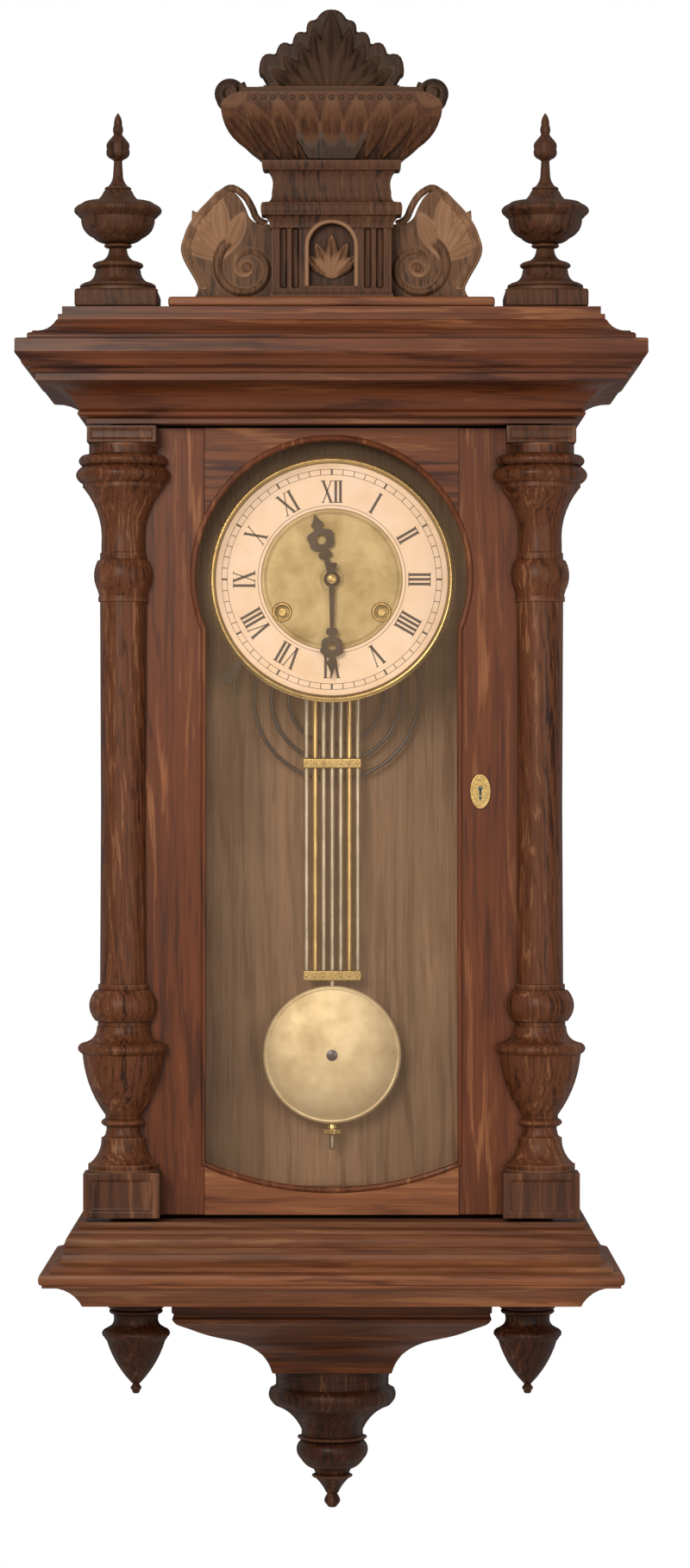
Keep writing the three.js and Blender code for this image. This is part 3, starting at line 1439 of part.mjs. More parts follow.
// Assembly: movement
place('back_plate', backPlate(), brass);
place('front_plate', frontPlate(), brass);
place('going_barrel', barrel(goingBarrelAt, 0), brass);
place('second_wheel', secondWheel(), brass);
place('centre_wheel', centreWheel(), brass);
place('third_wheel', thirdWheel(), brass);
place('escape_wheel', escapeWheel(), brass);
place('pallets', pallets(), steel);
place('minute_wheel', minuteWheel(), brass);
place('hour_wheel', hourWheel(), brass);
place('strike_barrel', barrel(strikeBarrelAt, 0), brass);
place('pin_wheel', pinWheel(), brass);
place('fly', fly(), steel);
place('hammer', hammer(), steel);
place('gong_coil', gongCoil(), steel);
place('gong_post', gongPost(), steel);
place('movement_bracket', movementBracket(), steel);

// Assembly: dial and hands
place('dial_plate', dialPlate(), gilt);
place('chapter_ring', chapterRing(), enamel);
place('bezel', bezel(), brass);
place('hour_hand', hand(hourHandShares, hourHandLength, 0.06, hourBossRadius, hourPipeRadius + seatGap, hourHandY, hourTurn), blued);
place('minute_hand', hand(minuteHandShares, minuteHandLength, 0.04, minuteBossRadius, arborRadius + seatGap, minuteHandY, minuteTurn), blued);

// Assembly: pendulum
place('pendulum_cock', pendulumCock(), brass);
place('suspension_spring', suspensionSpring(), steel);
place('pendulum_rods', pendulumRods(), steel);
place('bob', bob(), brass);
place('rating_nut', ratingNut(), brass);

export default clock;
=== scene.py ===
# A spring-driven regulator wall clock in a glazed walnut case, dressed over its fixed frame.
# Metres, +Z up. The origin is the hanger on the wall plane, and the clock faces -Y.
import json
import math

import bpy
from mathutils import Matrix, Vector


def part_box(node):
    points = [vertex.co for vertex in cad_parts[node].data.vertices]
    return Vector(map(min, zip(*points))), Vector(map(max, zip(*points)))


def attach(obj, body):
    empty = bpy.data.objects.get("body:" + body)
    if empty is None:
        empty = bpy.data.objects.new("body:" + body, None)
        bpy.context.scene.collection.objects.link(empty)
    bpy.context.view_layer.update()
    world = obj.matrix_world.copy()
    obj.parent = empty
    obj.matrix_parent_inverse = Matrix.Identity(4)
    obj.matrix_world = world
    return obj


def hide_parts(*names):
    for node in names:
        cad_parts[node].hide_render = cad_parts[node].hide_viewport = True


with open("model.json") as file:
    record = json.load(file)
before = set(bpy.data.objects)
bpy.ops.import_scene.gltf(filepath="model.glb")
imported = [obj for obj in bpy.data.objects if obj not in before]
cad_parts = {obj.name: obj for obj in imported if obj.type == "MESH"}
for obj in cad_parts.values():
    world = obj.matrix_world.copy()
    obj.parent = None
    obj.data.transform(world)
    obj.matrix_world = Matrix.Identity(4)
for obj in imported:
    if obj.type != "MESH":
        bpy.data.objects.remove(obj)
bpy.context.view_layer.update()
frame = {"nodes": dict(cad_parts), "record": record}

mm = 0.001
merge_distance = 0.002 * mm
overrun = 4 * mm
quarter_turn = math.pi / 2
half_turn = math.pi
full_turn = 2 * math.pi
body_of = {
    node: body for body, nodes in frame["record"]["behaviour"]["bodies"].items() for node in nodes
}

# Joinery that several pieces share
case_half = 168 * mm
case_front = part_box("side_left")[0].y
door_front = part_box("door_stile_left")[0].y
door_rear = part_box("door_stile_left")[1].y
seat_gap = 0.3 * mm
edge_width = 0.7 * mm
dial_z = -142 * mm
sight_half = 96 * mm
sight_radius = 104 * mm
sight_bottom = -604 * mm
sight_bottom_rise = 20 * mm


# Selecting and finishing
def deselect():
    if bpy.context.mode != "OBJECT":
        bpy.ops.object.mode_set(mode="OBJECT")
    bpy.ops.object.select_all(action="DESELECT")


def hold(piece):
    """Makes a piece the only one selected"""
    deselect()
    piece.select_set(True)
    bpy.context.view_layer.objects.active = piece
    return piece


def edit(piece, kind="VERT"):
    """Opens a piece in edit mode with all of it selected"""
    hold(piece)
    bpy.ops.object.mode_set(mode="EDIT")
    bpy.ops.mesh.select_mode(type=kind)
    bpy.ops.mesh.select_all(action="SELECT")


def pick(piece, kind, wanted):
    """Opens a piece in edit mode with only its wanted vertices or faces selected"""
    edit(piece, kind)
    bpy.ops.mesh.select_all(action="DESELECT")
    bpy.ops.object.mode_set(mode="OBJECT")
    for part in piece.data.polygons if kind == "FACE" else piece.data.vertices:
        part.select = wanted(part)
    bpy.ops.object.mode_set(mode="EDIT")


def clean(piece):
    """Merges doubles and turns the faces outwards"""
    edit(piece)
    bpy.ops.mesh.remove_doubles(threshold=merge_distance)
    bpy.ops.mesh.normals_make_consistent(inside=False)
    bpy.ops.object.mode_set(mode="OBJECT")
    return piece


def settle(piece):
    """Puts a piece's place, turn and size into its mesh"""
    hold(piece)
    bpy.ops.object.transform_apply(location=True, rotation=True, scale=True)
    return piece


def modify(piece, kind, **settings):
    """Applies a modifier with these settings"""
    hold(piece)
    modifier = piece.modifiers.new(kind.lower(), kind)
    for name, value in settings.items():
        setattr(modifier, name, value)
    bpy.ops.object.modifier_apply(modifier=modifier.name)
    return piece


def soften(piece, width=edge_width, segments=2, angle=30):
    """Rounds the edges that are sharper than the angle"""
    return modify(
        piece, "BEVEL", width=width, segments=segments, limit_method="ANGLE", angle_limit=math.radians(angle),
    )


def cut(piece, *cutters):
    """Cuts pieces away and deletes them"""
    for cutter in cutters:
        modify(piece, "BOOLEAN", operation="DIFFERENCE", object=cutter, solver="EXACT")
        bpy.data.objects.remove(cutter)
    return piece


def joined(name, pieces):
    """Joins loose pieces into one"""
    hold(pieces[0])
    for piece in pieces[1:]:
        piece.select_set(True)
    bpy.ops.object.join()
    pieces[0].name = name
    return pieces[0]


def duplicate(piece, name):
    """A copy with a mesh of its own"""
    twin = piece.copy()
    twin.data = piece.data.copy()
    twin.name = name
    bpy.context.scene.collection.objects.link(twin)
    return twin


def done(piece, finish, body, nodes=(), angle=35):
    """Shades a finished piece and puts it on its body, in place of the nodes that it stands for"""
    hold(piece)
    bpy.ops.object.shade_smooth_by_angle(angle=math.radians(angle))
    modify(piece, "WEIGHTED_NORMAL", keep_sharp=True)
    piece.data.materials.clear()
    piece.data.materials.append(finishes[finish])
    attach(piece, body)
    if nodes:
        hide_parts(*nodes)
    return piece


def done_twice(right, finish, body, node_name=None, angle=35):
    """Finishes a piece and its mirror. The word right or left ends both their names and their nodes'"""
    left = duplicate(right, right.name.replace("right", "left"))
    left.scale = (-1, 1, 1)
    clean(settle(left))
    for piece, side in ((right, "right"), (left, "left")):
        done(piece, finish, body, [f"{node_name}_{side}"] if node_name else (), angle)


# Drawing
def trace(name, points):
    """A wire drawn by extruding one vertex from point to point, left in edit mode"""
    deselect()
    bpy.ops.mesh.primitive_plane_add(size=mm, location=points[0])
    piece = bpy.context.active_object
    piece.name = name
    bpy.ops.object.transform_apply(location=True, rotation=True, scale=True)
    edit(piece)
    bpy.ops.mesh.merge(type="CENTER")
    for near, far in zip(points, points[1:]):
        bpy.ops.mesh.extrude_vertices_move(TRANSFORM_OT_translate={"value": Vector(far) - Vector(near)})
    return piece


def spun(name, points, centre, axis, sides, sweep=full_turn):
    """Spins a line of points about an axis, and closes the open side if the turn isn't full"""
    piece = trace(name, points)
    bpy.ops.mesh.select_all(action="SELECT")
    bpy.ops.mesh.spin(steps=sides, angle=sweep, center=centre, axis=axis)
    if sweep < full_turn:
        bpy.ops.mesh.select_all(action="SELECT")
        bpy.ops.mesh.remove_doubles(threshold=merge_distance)
        bpy.ops.mesh.select_all(action="DESELECT")
        bpy.ops.mesh.select_mode(type="EDGE")
        bpy.ops.mesh.select_non_manifold()
        bpy.ops.mesh.edge_face_add()
    return clean(piece)


def turned(name, profile, x, y, sides, sweep=full_turn):
    """Turns (radius, height) points about an upright axis. Half a turn keeps the front half"""
    points = [(x + radius, y, height) for radius, height in profile]
    return spun(name, points, (x, y, 0), (0, 0, 1), sides, sweep)


def faced(name, profile, x, z, sides):
    """Turns (radius, y) points about an axis that runs from front to back"""
    return spun(name, [(x + radius, y, z) for radius, y in profile], (x, 0, z), (0, 1, 0), sides)


def crosswise(name, profile, y, z, sides):
    """Turns (radius, x) points about an axis that runs from side to side"""
    return spun(name, [(x, y, z + radius) for radius, x in profile], (0, y, z), (1, 0, 0), sides)


def drill(radius, x, z, front, rear, sides=24):
    """A round cutter that passes through from the front plane to the rear plane"""
    start, end = front - overrun, rear + overrun
    return faced("drill", [(0, start), (radius, start), (radius, end), (0, end)], x, z, sides)


def sheet(name, corners):
    """A flat face between corners, left in edit mode"""
    piece = trace(name, corners + corners[:1])
    bpy.ops.mesh.select_all(action="SELECT")
    bpy.ops.mesh.remove_doubles(threshold=merge_distance)
    bpy.ops.mesh.edge_face_add()
    return piece


def board(name, outline, back, thickness):
    """A board cut to an outline of (x, z) points, from its back towards the viewer"""
    piece = sheet(name, [(x, back, z) for x, z in outline])
    bpy.ops.mesh.extrude_region_move(TRANSFORM_OT_translate={"value": (0, -thickness, 0)})
    return clean(piece)


def block(name, low, high):
    """A plain block between two corners, for shaping"""
    low, high = Vector(low), Vector(high)
    deselect()
    bpy.ops.mesh.primitive_cube_add(size=1, location=(low + high) / 2)
    piece = bpy.context.active_object
    piece.name = name
    piece.scale = high - low
    return settle(piece)


def stacked(name, rings, back=0.0):
    """A moulding drawn up from its lowest ring of (half width, depth, height) with its back on a plane"""
    half, depth, height = rings[0]
    corners = [(-half, back), (-half, back - depth), (half, back - depth), (half, back)]
    piece = sheet(name, [(x, y, height) for x, y in corners])
    for (half, depth, height), (next_half, next_depth, next_height) in zip(rings, rings[1:]):
        bpy.ops.mesh.extrude_region_move(TRANSFORM_OT_translate={"value": (0, 0, next_height - height)})
        bpy.ops.transform.resize(
            value=(next_half / half, next_depth / depth, 1), center_override=(0, back, next_height),
        )
    return clean(piece)


def strand(name, points, thickness, shares=None, closed=False):
    """A round strand along a path, thinned by a share at each point"""
    deselect()
    bpy.ops.curve.primitive_bezier_curve_add(location=(0, 0, 0))
    piece = bpy.context.active_object
    piece.name = name
    piece.data.splines.clear()
    spline = piece.data.splines.new("POLY")
    spline.points.add(len(points) - 1)
    spline.use_cyclic_u = closed
    for place, (point, knot) in enumerate(zip(points, spline.points)):
        knot.co = (*point, 1)
        knot.radius = shares[place] if shares else 1
    piece.data.dimensions = "3D"
    piece.data.bevel_depth = thickness / 2
    piece.data.bevel_resolution = 3
    piece.data.use_fill_caps = not closed
    bpy.ops.object.convert(target="MESH")
    return clean(bpy.context.active_object)


# Shapes from shares
def curved(stations, width, height, base=0.0, steps=6):
    """Points of a profile in shares. A third share bows the stretch up to its point, outwards if positive"""
    points = []
    last = None
    for across, up, *bow in stations:
        here = Vector((across * width, base + up * height))
        if bow:
            chord = here - last
            middle = (last + here) / 2 + Vector((chord.y, -chord.x)) * (2 * bow[0])
            for step in range(1, steps):
                share = step / steps
                points.append(
                    last * (1 - share) ** 2 + middle * (2 * share * (1 - share)) + here * share ** 2
                )
        points.append(here)
        last = here
    return [tuple(point) for point in points]


def flowing(rows, steps=5):
    """Rows of any length on one smooth curve through the rows given"""
    rows = [Vector(row) for row in rows]
    points = []
    for place in range(len(rows) - 1):
        before = rows[max(place - 1, 0)]
        start = rows[place]
        end = rows[place + 1]
        after = rows[min(place + 2, len(rows) - 1)]
        for step in range(steps):
            share = step / steps
            points.append(
                0.5 * (
                    2 * start + (end - before) * share
                    + (2 * before - 5 * start + 4 * end - after) * share ** 2
                    + (3 * start - before - 3 * end + after) * share ** 3
                )
            )
    points.append(rows[-1])
    return [tuple(point) for point in points]


def both_sides(outline):
    """Closes half an outline of (x, z) points with its mirror"""
    return outline + [(-x, z) for x, z in reversed(outline) if abs(x) > merge_distance]


def polar(x, z, radius, angle):
    """A point at a distance, turned clockwise from straight up"""
    return x + radius * math.sin(angle), z + radius * math.cos(angle)


def evenly(count):
    """Even shares from -1 to 1"""
    return [place / (count - 1) * 2 - 1 for place in range(count)]


def raised(front, rings):
    """Points of (radius, rise) in millimetres, from a plane towards the viewer"""
    return [(radius * mm, front - rise * mm) for radius, rise in rings]


def middle_of(node_name):
    low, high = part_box(node_name)
    return (low + high) / 2


# Materials
def colour(text):
    """A colour as it renders, from its six hexadecimal digits"""
    shares = [int(text[place:place + 2], 16) / 255 for place in (0, 2, 4)]
    linear = [share / 12.92 if share <= 0.04045 else ((share + 0.055) / 1.055) ** 2.4 for share in shares]
    return (*linear, 1)


def grey(share):
    return (share, share, share, 1)


def feed(tree, inputs, values):
    """Fills a node's inputs. A socket is linked, and any other value stays a constant"""
    for name, value in values.items():
        if isinstance(value, bpy.types.NodeSocket):
            tree.links.new(value, inputs[name])
        else:
            inputs[name].default_value = value


def node(tree, kind, values=None, **settings):
    """Adds a shader node"""
    made = tree.nodes.new(kind)
    for name, value in settings.items():
        setattr(made, name, value)
    feed(tree, made.inputs, values or {})
    return made


def reckoned(tree, operation, *values):
    """The result of a sum"""
    return node(tree, "ShaderNodeMath", dict(enumerate(values)), operation=operation).outputs[0]


def ramp(tree, source, *stops):
    """Turns a value into a colour by stops of (place, colour)"""
    made = node(tree, "ShaderNodeValToRGB", {"Fac": source})
    elements = made.color_ramp.elements
    elements[0].position, elements[0].color = stops[0]
    elements[1].position, elements[1].color = stops[-1]
    for place, value in stops[1:-1]:
        elements.new(place).color = value
    return made.outputs["Color"]


def shade(tree, source, *stops):
    """Turns a value into a grey by stops of (place, share)"""
    return ramp(tree, source, *[(place, grey(share)) for place, share in stops])


def mixed(tree, share, first, second, kind="MIX"):
    made = node(tree, "ShaderNodeMix", data_type="RGBA", blend_type=kind)
    first_colour, second_colour, result = 6, 7, 2
    feed(tree, made.inputs, {0: share, first_colour: first, second_colour: second})
    return made.outputs[result]


def darker(tree, tone, cover, share=1.0):
    return mixed(tree, share, tone, cover, "MULTIPLY")


def started(name):
    material = bpy.data.materials.new(name)
    material.use_nodes = True
    tree = material.node_tree
    place = node(tree, "ShaderNodeTexCoord").outputs["Object"]
    return material, tree, tree.nodes["Principled BSDF"], place


def spread(tree, place, size, turn=(0, 0, 0)):
    """Object coordinates, stretched and turned for a pattern"""
    moved = node(tree, "ShaderNodeMapping", {"Vector": place, "Scale": size, "Rotation": turn})
    return moved.outputs["Vector"]


def away_from(tree, place, middle, size=(1, 1, 1)):
    """How far a point lies from a middle"""
    back = [-share for share in middle]
    moved = node(tree, "ShaderNodeMapping", {"Vector": place, "Location": back, "Scale": size})
    length = node(tree, "ShaderNodeVectorMath", {0: moved.outputs["Vector"]}, operation="LENGTH")
    return length.outputs["Value"]


def along_grain(axis, share):
    """Sizes that draw a pattern out along one axis"""
    return [share if name == axis else 1 for name in "XYZ"]


def noise(tree, place, scale, detail=4.0, roughness=0.55, distortion=0.0):
    return node(
        tree, "ShaderNodeTexNoise",
        {"Vector": place, "Scale": scale, "Detail": detail, "Roughness": roughness, "Distortion": distortion},
    ).outputs["Fac"]


def nearness(tree, reach, inside=False):
    """How open a point lies, or how thick the piece is under it"""
    return node(
        tree, "ShaderNodeAmbientOcclusion", {"Distance": reach}, inside=inside, samples=6,
    ).outputs["AO"]


def corner_shade_and_tarnish(tree, tone, reach, low, high, dark_share):
    """Darkens a tone in corners and recesses that ambient occlusion finds: painted shade on wood, tarnish in
    the hollows of metal
    """
    is_open = shade(tree, nearness(tree, reach), (low, 0), (high, 1))
    return mixed(tree, is_open, darker(tree, tone, grey(dark_share)), tone)


def painted_shade_by_place(tree, place, tone, place_shade):
    """Paints shade into a tone by how far a point lies from the middle, given as {axis: [(millimetres,
    share)]}
    """
    parts = node(tree, "ShaderNodeSeparateXYZ", {"Vector": place})
    for axis, stops in place_shade.items():
        away = reckoned(tree, "ABSOLUTE", parts.outputs[axis])
        tone = darker(tree, tone, shade(tree, away, *[(reach * mm, share) for reach, share in stops]))
    return tone


def relief(tree, height, strength, depth, **under):
    """A normal with a fine relief, over the Normal under it if one is given"""
    return node(
        tree, "ShaderNodeBump", {"Strength": strength, "Distance": depth, "Height": height, **under},
    ).outputs["Normal"]


def wood(name, deep, middle, pale, along, gloss=0.42, carved=False, place_shade=None):
    """Polished walnut. Along is the axis of the grain, which looks finer on small carved and turned pieces"""
    material, tree, shader, place = started(name)
    fineness = 2.4 if carved else 1
    size = along_grain(along, 0.11 if carved else 0.07)
    broad = noise(tree, spread(tree, place, size), 26 * fineness, detail=5, roughness=0.62, distortion=0.7)
    figure = node(
        tree, "ShaderNodeTexWave",
        {
            "Vector": spread(tree, place, size, (0.35, 0.2, 0.5)), "Scale": 34 * fineness,
            "Distortion": 13, "Detail": 4, "Detail Scale": 1.4, "Detail Roughness": 0.62,
        },
        wave_type="BANDS", bands_direction="DIAGONAL",
    ).outputs["Fac"]
    figure_share = 0.38
    tone = ramp(
        tree, reckoned(tree, "MULTIPLY_ADD", figure, figure_share, broad),
        (0.36, colour(deep)), (0.62, colour(middle)), (0.86, colour(middle)), (1.0, colour(pale)),
    )
    thin = spread(tree, place, along_grain(along, 0.025))
    pores = noise(tree, thin, 950, detail=2, roughness=0.5)
    fibres = noise(tree, thin, 330 * fineness, detail=3, roughness=0.6)
    blotches = noise(tree, place, 7, detail=3)
    tone = darker(tree, tone, shade(tree, pores, (0.58, 1), (0.72, 0.55)), 0.8)
    tone = darker(tree, tone, shade(tree, fibres, (0.38, 0.72), (0.6, 1)), 0.75)
    tone = darker(tree, tone, shade(tree, blotches, (0.3, 0.82), (0.7, 1)))
    if carved:
        # Painted shade: the carving's corners and hollows darkened to a third of their tone
        tone = corner_shade_and_tarnish(tree, tone, 14 * mm, 0.25, 0.85, 0.34)
        worn = shade(tree, nearness(tree, 2.5 * mm, inside=True), (0.45, 1), (0.85, 0))
        tone = mixed(tree, worn, tone, colour(pale))
    else:
        # Painted shade: corners and recesses darkened to half their tone
        tone = corner_shade_and_tarnish(tree, tone, 8 * mm, 0.2, 0.8, 0.5)
    facing = node(tree, "ShaderNodeLayerWeight").outputs["Facing"]
    rough = shade(tree, broad, (0.3, gloss - 0.07), (0.75, gloss + 0.1))
    matt = 0.95
    feed(tree, shader.inputs, {
        # Painted shade by place, on the finishes that give it
        "Base Color": painted_shade_by_place(tree, place, tone, place_shade or {}),
        "Roughness": mixed(tree, shade(tree, facing, (0.6, 0), (0.92, 1)), rough, grey(matt)),
        "Specular IOR Level": 0.14 if carved else 0.2,
        "Coat Weight": 0.02 if carved else 0.06,
        "Coat Roughness": 0.3 if carved else 0.25,
        "Normal": relief(tree, broad, 0.3, 0.8 * mm, Normal=relief(tree, pores, 0.25, 0.25 * mm)),
    })
    return material


def metal(name, clear, dull, roughness, brushed=(1, 1, 1), tarnish=0.5, metallic=1.0):
    """Polished or brushed metal with tarnish where it isn't rubbed"""
    material, tree, shader, place = started(name)
    cloud = noise(tree, place, 60, detail=5, roughness=0.6)
    lines = noise(tree, spread(tree, place, brushed), 700, detail=3, roughness=0.6)
    tone = ramp(tree, cloud, (0.35, colour(clear)), (0.35 + tarnish, colour(dull)))
    feed(tree, shader.inputs, {
        "Base Color": corner_shade_and_tarnish(tree, tone, 3 * mm, 0.3, 0.85, 0.45),
        "Roughness": shade(tree, lines, (0.3, roughness - 0.07), (0.7, roughness + 0.12)),
        "Metallic": metallic,
        "Normal": relief(tree, lines, 0.12, 0.08 * mm),
    })
    return material


def ringed_metal(name, clear, dull, roughness, centre, pitch):
    """Metal turned on a lathe, with fine rings about a centre"""
    material, tree, shader, place = started(name)
    away = away_from(tree, place, centre, (1, 0, 1))
    rings = reckoned(tree, "SINE", reckoned(tree, "MULTIPLY", away, full_turn / pitch))
    cloud = noise(tree, place, 40, detail=5, roughness=0.6)
    tone = ramp(tree, cloud, (0.35, colour(clear)), (0.75, colour(dull)))
    feed(tree, shader.inputs, {
        "Base Color": corner_shade_and_tarnish(tree, tone, 4 * mm, 0.3, 0.9, 0.5),
        "Roughness": shade(tree, cloud, (0.3, roughness - 0.05), (0.75, roughness + 0.12)),
        "Metallic": 0.8,
        "Normal": relief(tree, rings, 0.18, 0.05 * mm),
    })
    return material


def enamel():
    """Cream dial enamel, a little mottled, with a soft gloss"""
    material, tree, shader, place = started("cream_enamel")
    cloud = noise(tree, place, 45, detail=5, roughness=0.6)
    specks = noise(tree, place, 900, detail=2, roughness=0.5)
    tone = ramp(tree, cloud, (0.3, colour("f4d2aa")), (0.5, colour("fadbba")), (0.72, colour("fde3ca")))
    feed(tree, shader.inputs, {
        "Base Color": darker(tree, tone, shade(tree, specks, (0.66, 1), (0.78, 0.72)), 0.6),
        "Roughness": shade(tree, cloud, (0.3, 0.28), (0.7, 0.42)),
        "Coat Weight": 0.25,
        "Coat Roughness": 0.15,
        "Normal": relief(tree, cloud, 0.1, 0.1 * mm),
    })
    return material


def glass():
    """Old window glass: almost clear, with a little haze and waviness"""
    material, tree, shader, place = started("old_glass")
    cloud = noise(tree, place, 9, detail=4, roughness=0.6)
    feed(tree, shader.inputs, {
        "Base Color": colour("d8b58f"),
        "Alpha": shade(tree, cloud, (0.3, 0.04), (0.7, 0.08)),
        "Roughness": shade(tree, cloud, (0.3, 0.03), (0.7, 0.09)),
        "Specular IOR Level": 0.3,
        "Normal": relief(tree, cloud, 0.12, 1 * mm),
    })
    return material


def ink():
    """Black dial paint, faded in places"""
    material, tree, shader, place = started("dial_paint")
    cloud = noise(tree, place, 240, detail=4, roughness=0.6)
    feed(tree, shader.inputs, {
        "Base Color": ramp(tree, cloud, (0.35, colour("241c1a")), (0.75, colour("4a3c33"))),
        "Roughness": shade(tree, cloud, (0.3, 0.4), (0.7, 0.6)),
    })
    return material


finishes = {
    "walnut": wood("walnut_upright", "3d1a09", "683519", "935d38", "Z"),
    "walnut_across": wood("walnut_across", "3d1a09", "6f3c1e", "9c663f", "X"),
    "walnut_inside": wood("walnut_inside", "6f4e38", "95735a", "ab876a", "Z", 0.6),
    # A paler copy of the cross-grain walnut: the crest plinth's paler wood, and painted light on the door's
    # bottom rail, which the lamps light less than the upper case
    "pale_and_lit_across": wood("pale_and_lit_walnut_across", "582b16", "875131", "a57148", "X"),
    "dark_walnut": wood("dark_walnut_upright", "2e1508", "54301b", "7b4f33", "Z", 0.38),
    # Painted shade: the cornice's ends, which face aside, darker beyond 165 mm from the middle
    "cornice_walnut": wood(
        "cornice_walnut", "3a1608", "6a381d", "935e3a", "X", 0.38, place_shade={"X": [(165, 1), (205, 0.78)]},
    ),
    # Painted light and shade: its colours are the paler copy that lifts the lower case, its ends are darker
    # beyond 170 mm from the middle, and its top, the cove under the door, is darker down to 650 mm below the
    # hanger
    "base_walnut": wood(
        "base_walnut", "582b16", "875131", "a57148", "X",
        place_shade={"X": [(170, 1), (205, 0.72)], "Z": [(650, 0.66), (660, 1)]},
    ),
    "apron_walnut": wood("apron_walnut", "341507", "60300f", "85502c", "X"),
    "carved_walnut": wood("carved_walnut", "3b2618", "6a4a34", "8c6a50", "Z", 0.5, carved=True),
    "carved_dark": wood("carved_dark_walnut", "28170d", "523321", "61422e", "Z", 0.5, carved=True),
    "carved_crown": wood("carved_crown_walnut", "1b110a", "3a271a", "463225", "Z", 0.5, carved=True),
    "turned_walnut": wood("turned_walnut", "341a0c", "653b24", "8c6042", "Z", 0.4, carved=True),
    # Darker stain, and painted shade: the drop and the corner pendants hang in the shadow under the base
    "turned_dark_and_shaded": wood("turned_dark_shaded_walnut", "180a04", "3c1f11", "603d26", "Z", 0.45, carved=True),
    "brass": metal("brass", "d8b877", "a88850", 0.24),
    "rods_brass": metal("rod_brass", "cfae72", "9c7f4c", 0.3, brushed=(1, 1, 0.03)),
    "gilt": ringed_metal("gilt_centre", "aa966c", "887447", 0.48, (0, 0, dial_z), 1.1 * mm),
    "bob_brass": ringed_metal("bob_brass", "e6d2a8", "c8b084", 0.62, (0, 0, middle_of("bob").z), 0.9 * mm),
    "steel": metal("steel", "a3a4a4", "6f7072", 0.3, brushed=(1, 1, 0.1)),
    "dark_steel": metal("dark_steel", "55504c", "35302d", 0.35),
    "rods_steel": metal("rod_steel", "b8a992", "877a68", 0.34, brushed=(1, 1, 0.03)),
    "gong_steel": metal("gong_steel", "4a4a50", "2e2c30", 0.32),
    "blued": metal("blued_steel", "3a342f", "241f1c", 0.32, tarnish=0.4, metallic=0.85),
    "enamel": enamel(),
    "glass": glass(),
    "ink": ink(),
}


# Stage, light and camera
room_light = 0.36
gloss_light = 0.62
lamps = {
    "window_light": ((-0.9, -2.85, 0.6), 1.2, 58, "fff4e6"),
    "room_fill": ((1.3, -2.6, -0.2), 1.4, 18, "fff4ea"),
    "floor_bounce": ((0.1, -1.5, -1.9), 1.2, 5, "fff0e0"),
    "rear_fill": ((0.7, 2.8, 0.8), 1.4, 24, "fff6ee"),
}


def pale_floor():
    """A round floor that fades into the white room"""
    middle_y, floor_z = -0.3, -1.0
    radius, clear_radius = 0.7, 0.2
    deselect()
    middle = (0, middle_y, floor_z)
    bpy.ops.mesh.primitive_circle_add(vertices=96, radius=radius, fill_type="NGON", location=middle)
    floor = bpy.context.active_object
    floor.name = "floor"
    settle(floor)
    material, tree, shader, place = started("pale_floor")
    away = away_from(tree, place, middle)
    feed(tree, shader.inputs, {
        "Base Color": ramp(tree, noise(tree, place, 4), (0.3, colour("eeeeea")), (0.7, colour("f4f4f1"))),
        "Roughness": 0.8,
        "Alpha": shade(tree, away, (clear_radius, 1), (radius, 0)),
    })
    floor.data.materials.append(material)


def white_room():
    """A world that looks white, lights the clock softly and shows a calm grey in what shines"""
    world = bpy.data.worlds.new("white_room")
    bpy.context.scene.world = world
    world.use_nodes = True
    tree = world.node_tree
    rays = node(tree, "ShaderNodeLightPath").outputs
    seen = reckoned(tree, "MAXIMUM", rays["Is Camera Ray"], rays["Is Transmission Ray"])
    lit = reckoned(tree, "MULTIPLY_ADD", rays["Is Glossy Ray"], gloss_light - room_light, room_light)
    feed(tree, tree.nodes["Background"].inputs, {
        "Color": (1, 1, 1, 1), "Strength": reckoned(tree, "MAXIMUM", seen, lit),
    })


def lamp(name, place, size, power, tint):
    data = bpy.data.lights.new(name, "AREA")
    data.shape = "DISK"
    data.size = size
    data.energy = power
    data.color = colour(tint)[:3]
    made = bpy.data.objects.new(name, data)
    made.location = place
    clock_middle = Vector((0, -0.1, -0.3))
    made.rotation_euler = (clock_middle - Vector(place)).to_track_quat("-Z", "Y").to_euler()
    # The lamp behind would put a grey sheen on the moulding ends
    made.visible_glossy = place[1] < 0
    bpy.context.scene.collection.objects.link(made)


def camera():
    """The photograph's view: level, from the front, with its middle a little right of the clock's"""
    pixel = 0.65 * mm
    picture_width, picture_height = 800 * pixel, 1818 * pixel
    clock_x, hanger_z = 384.5 * pixel, 450 * pixel
    distance = 3.2
    data = bpy.data.cameras.new("camera")
    data.sensor_width = 36
    data.lens = data.sensor_width * distance / picture_height
    data.clip_end = 50
    made = bpy.data.objects.new("camera", data)
    made.location = (picture_width / 2 - clock_x, door_front - distance, hanger_z - picture_height / 2)
    made.rotation_euler = (quarter_turn, 0, 0)
    bpy.context.scene.collection.objects.link(made)
    bpy.context.scene.camera = made


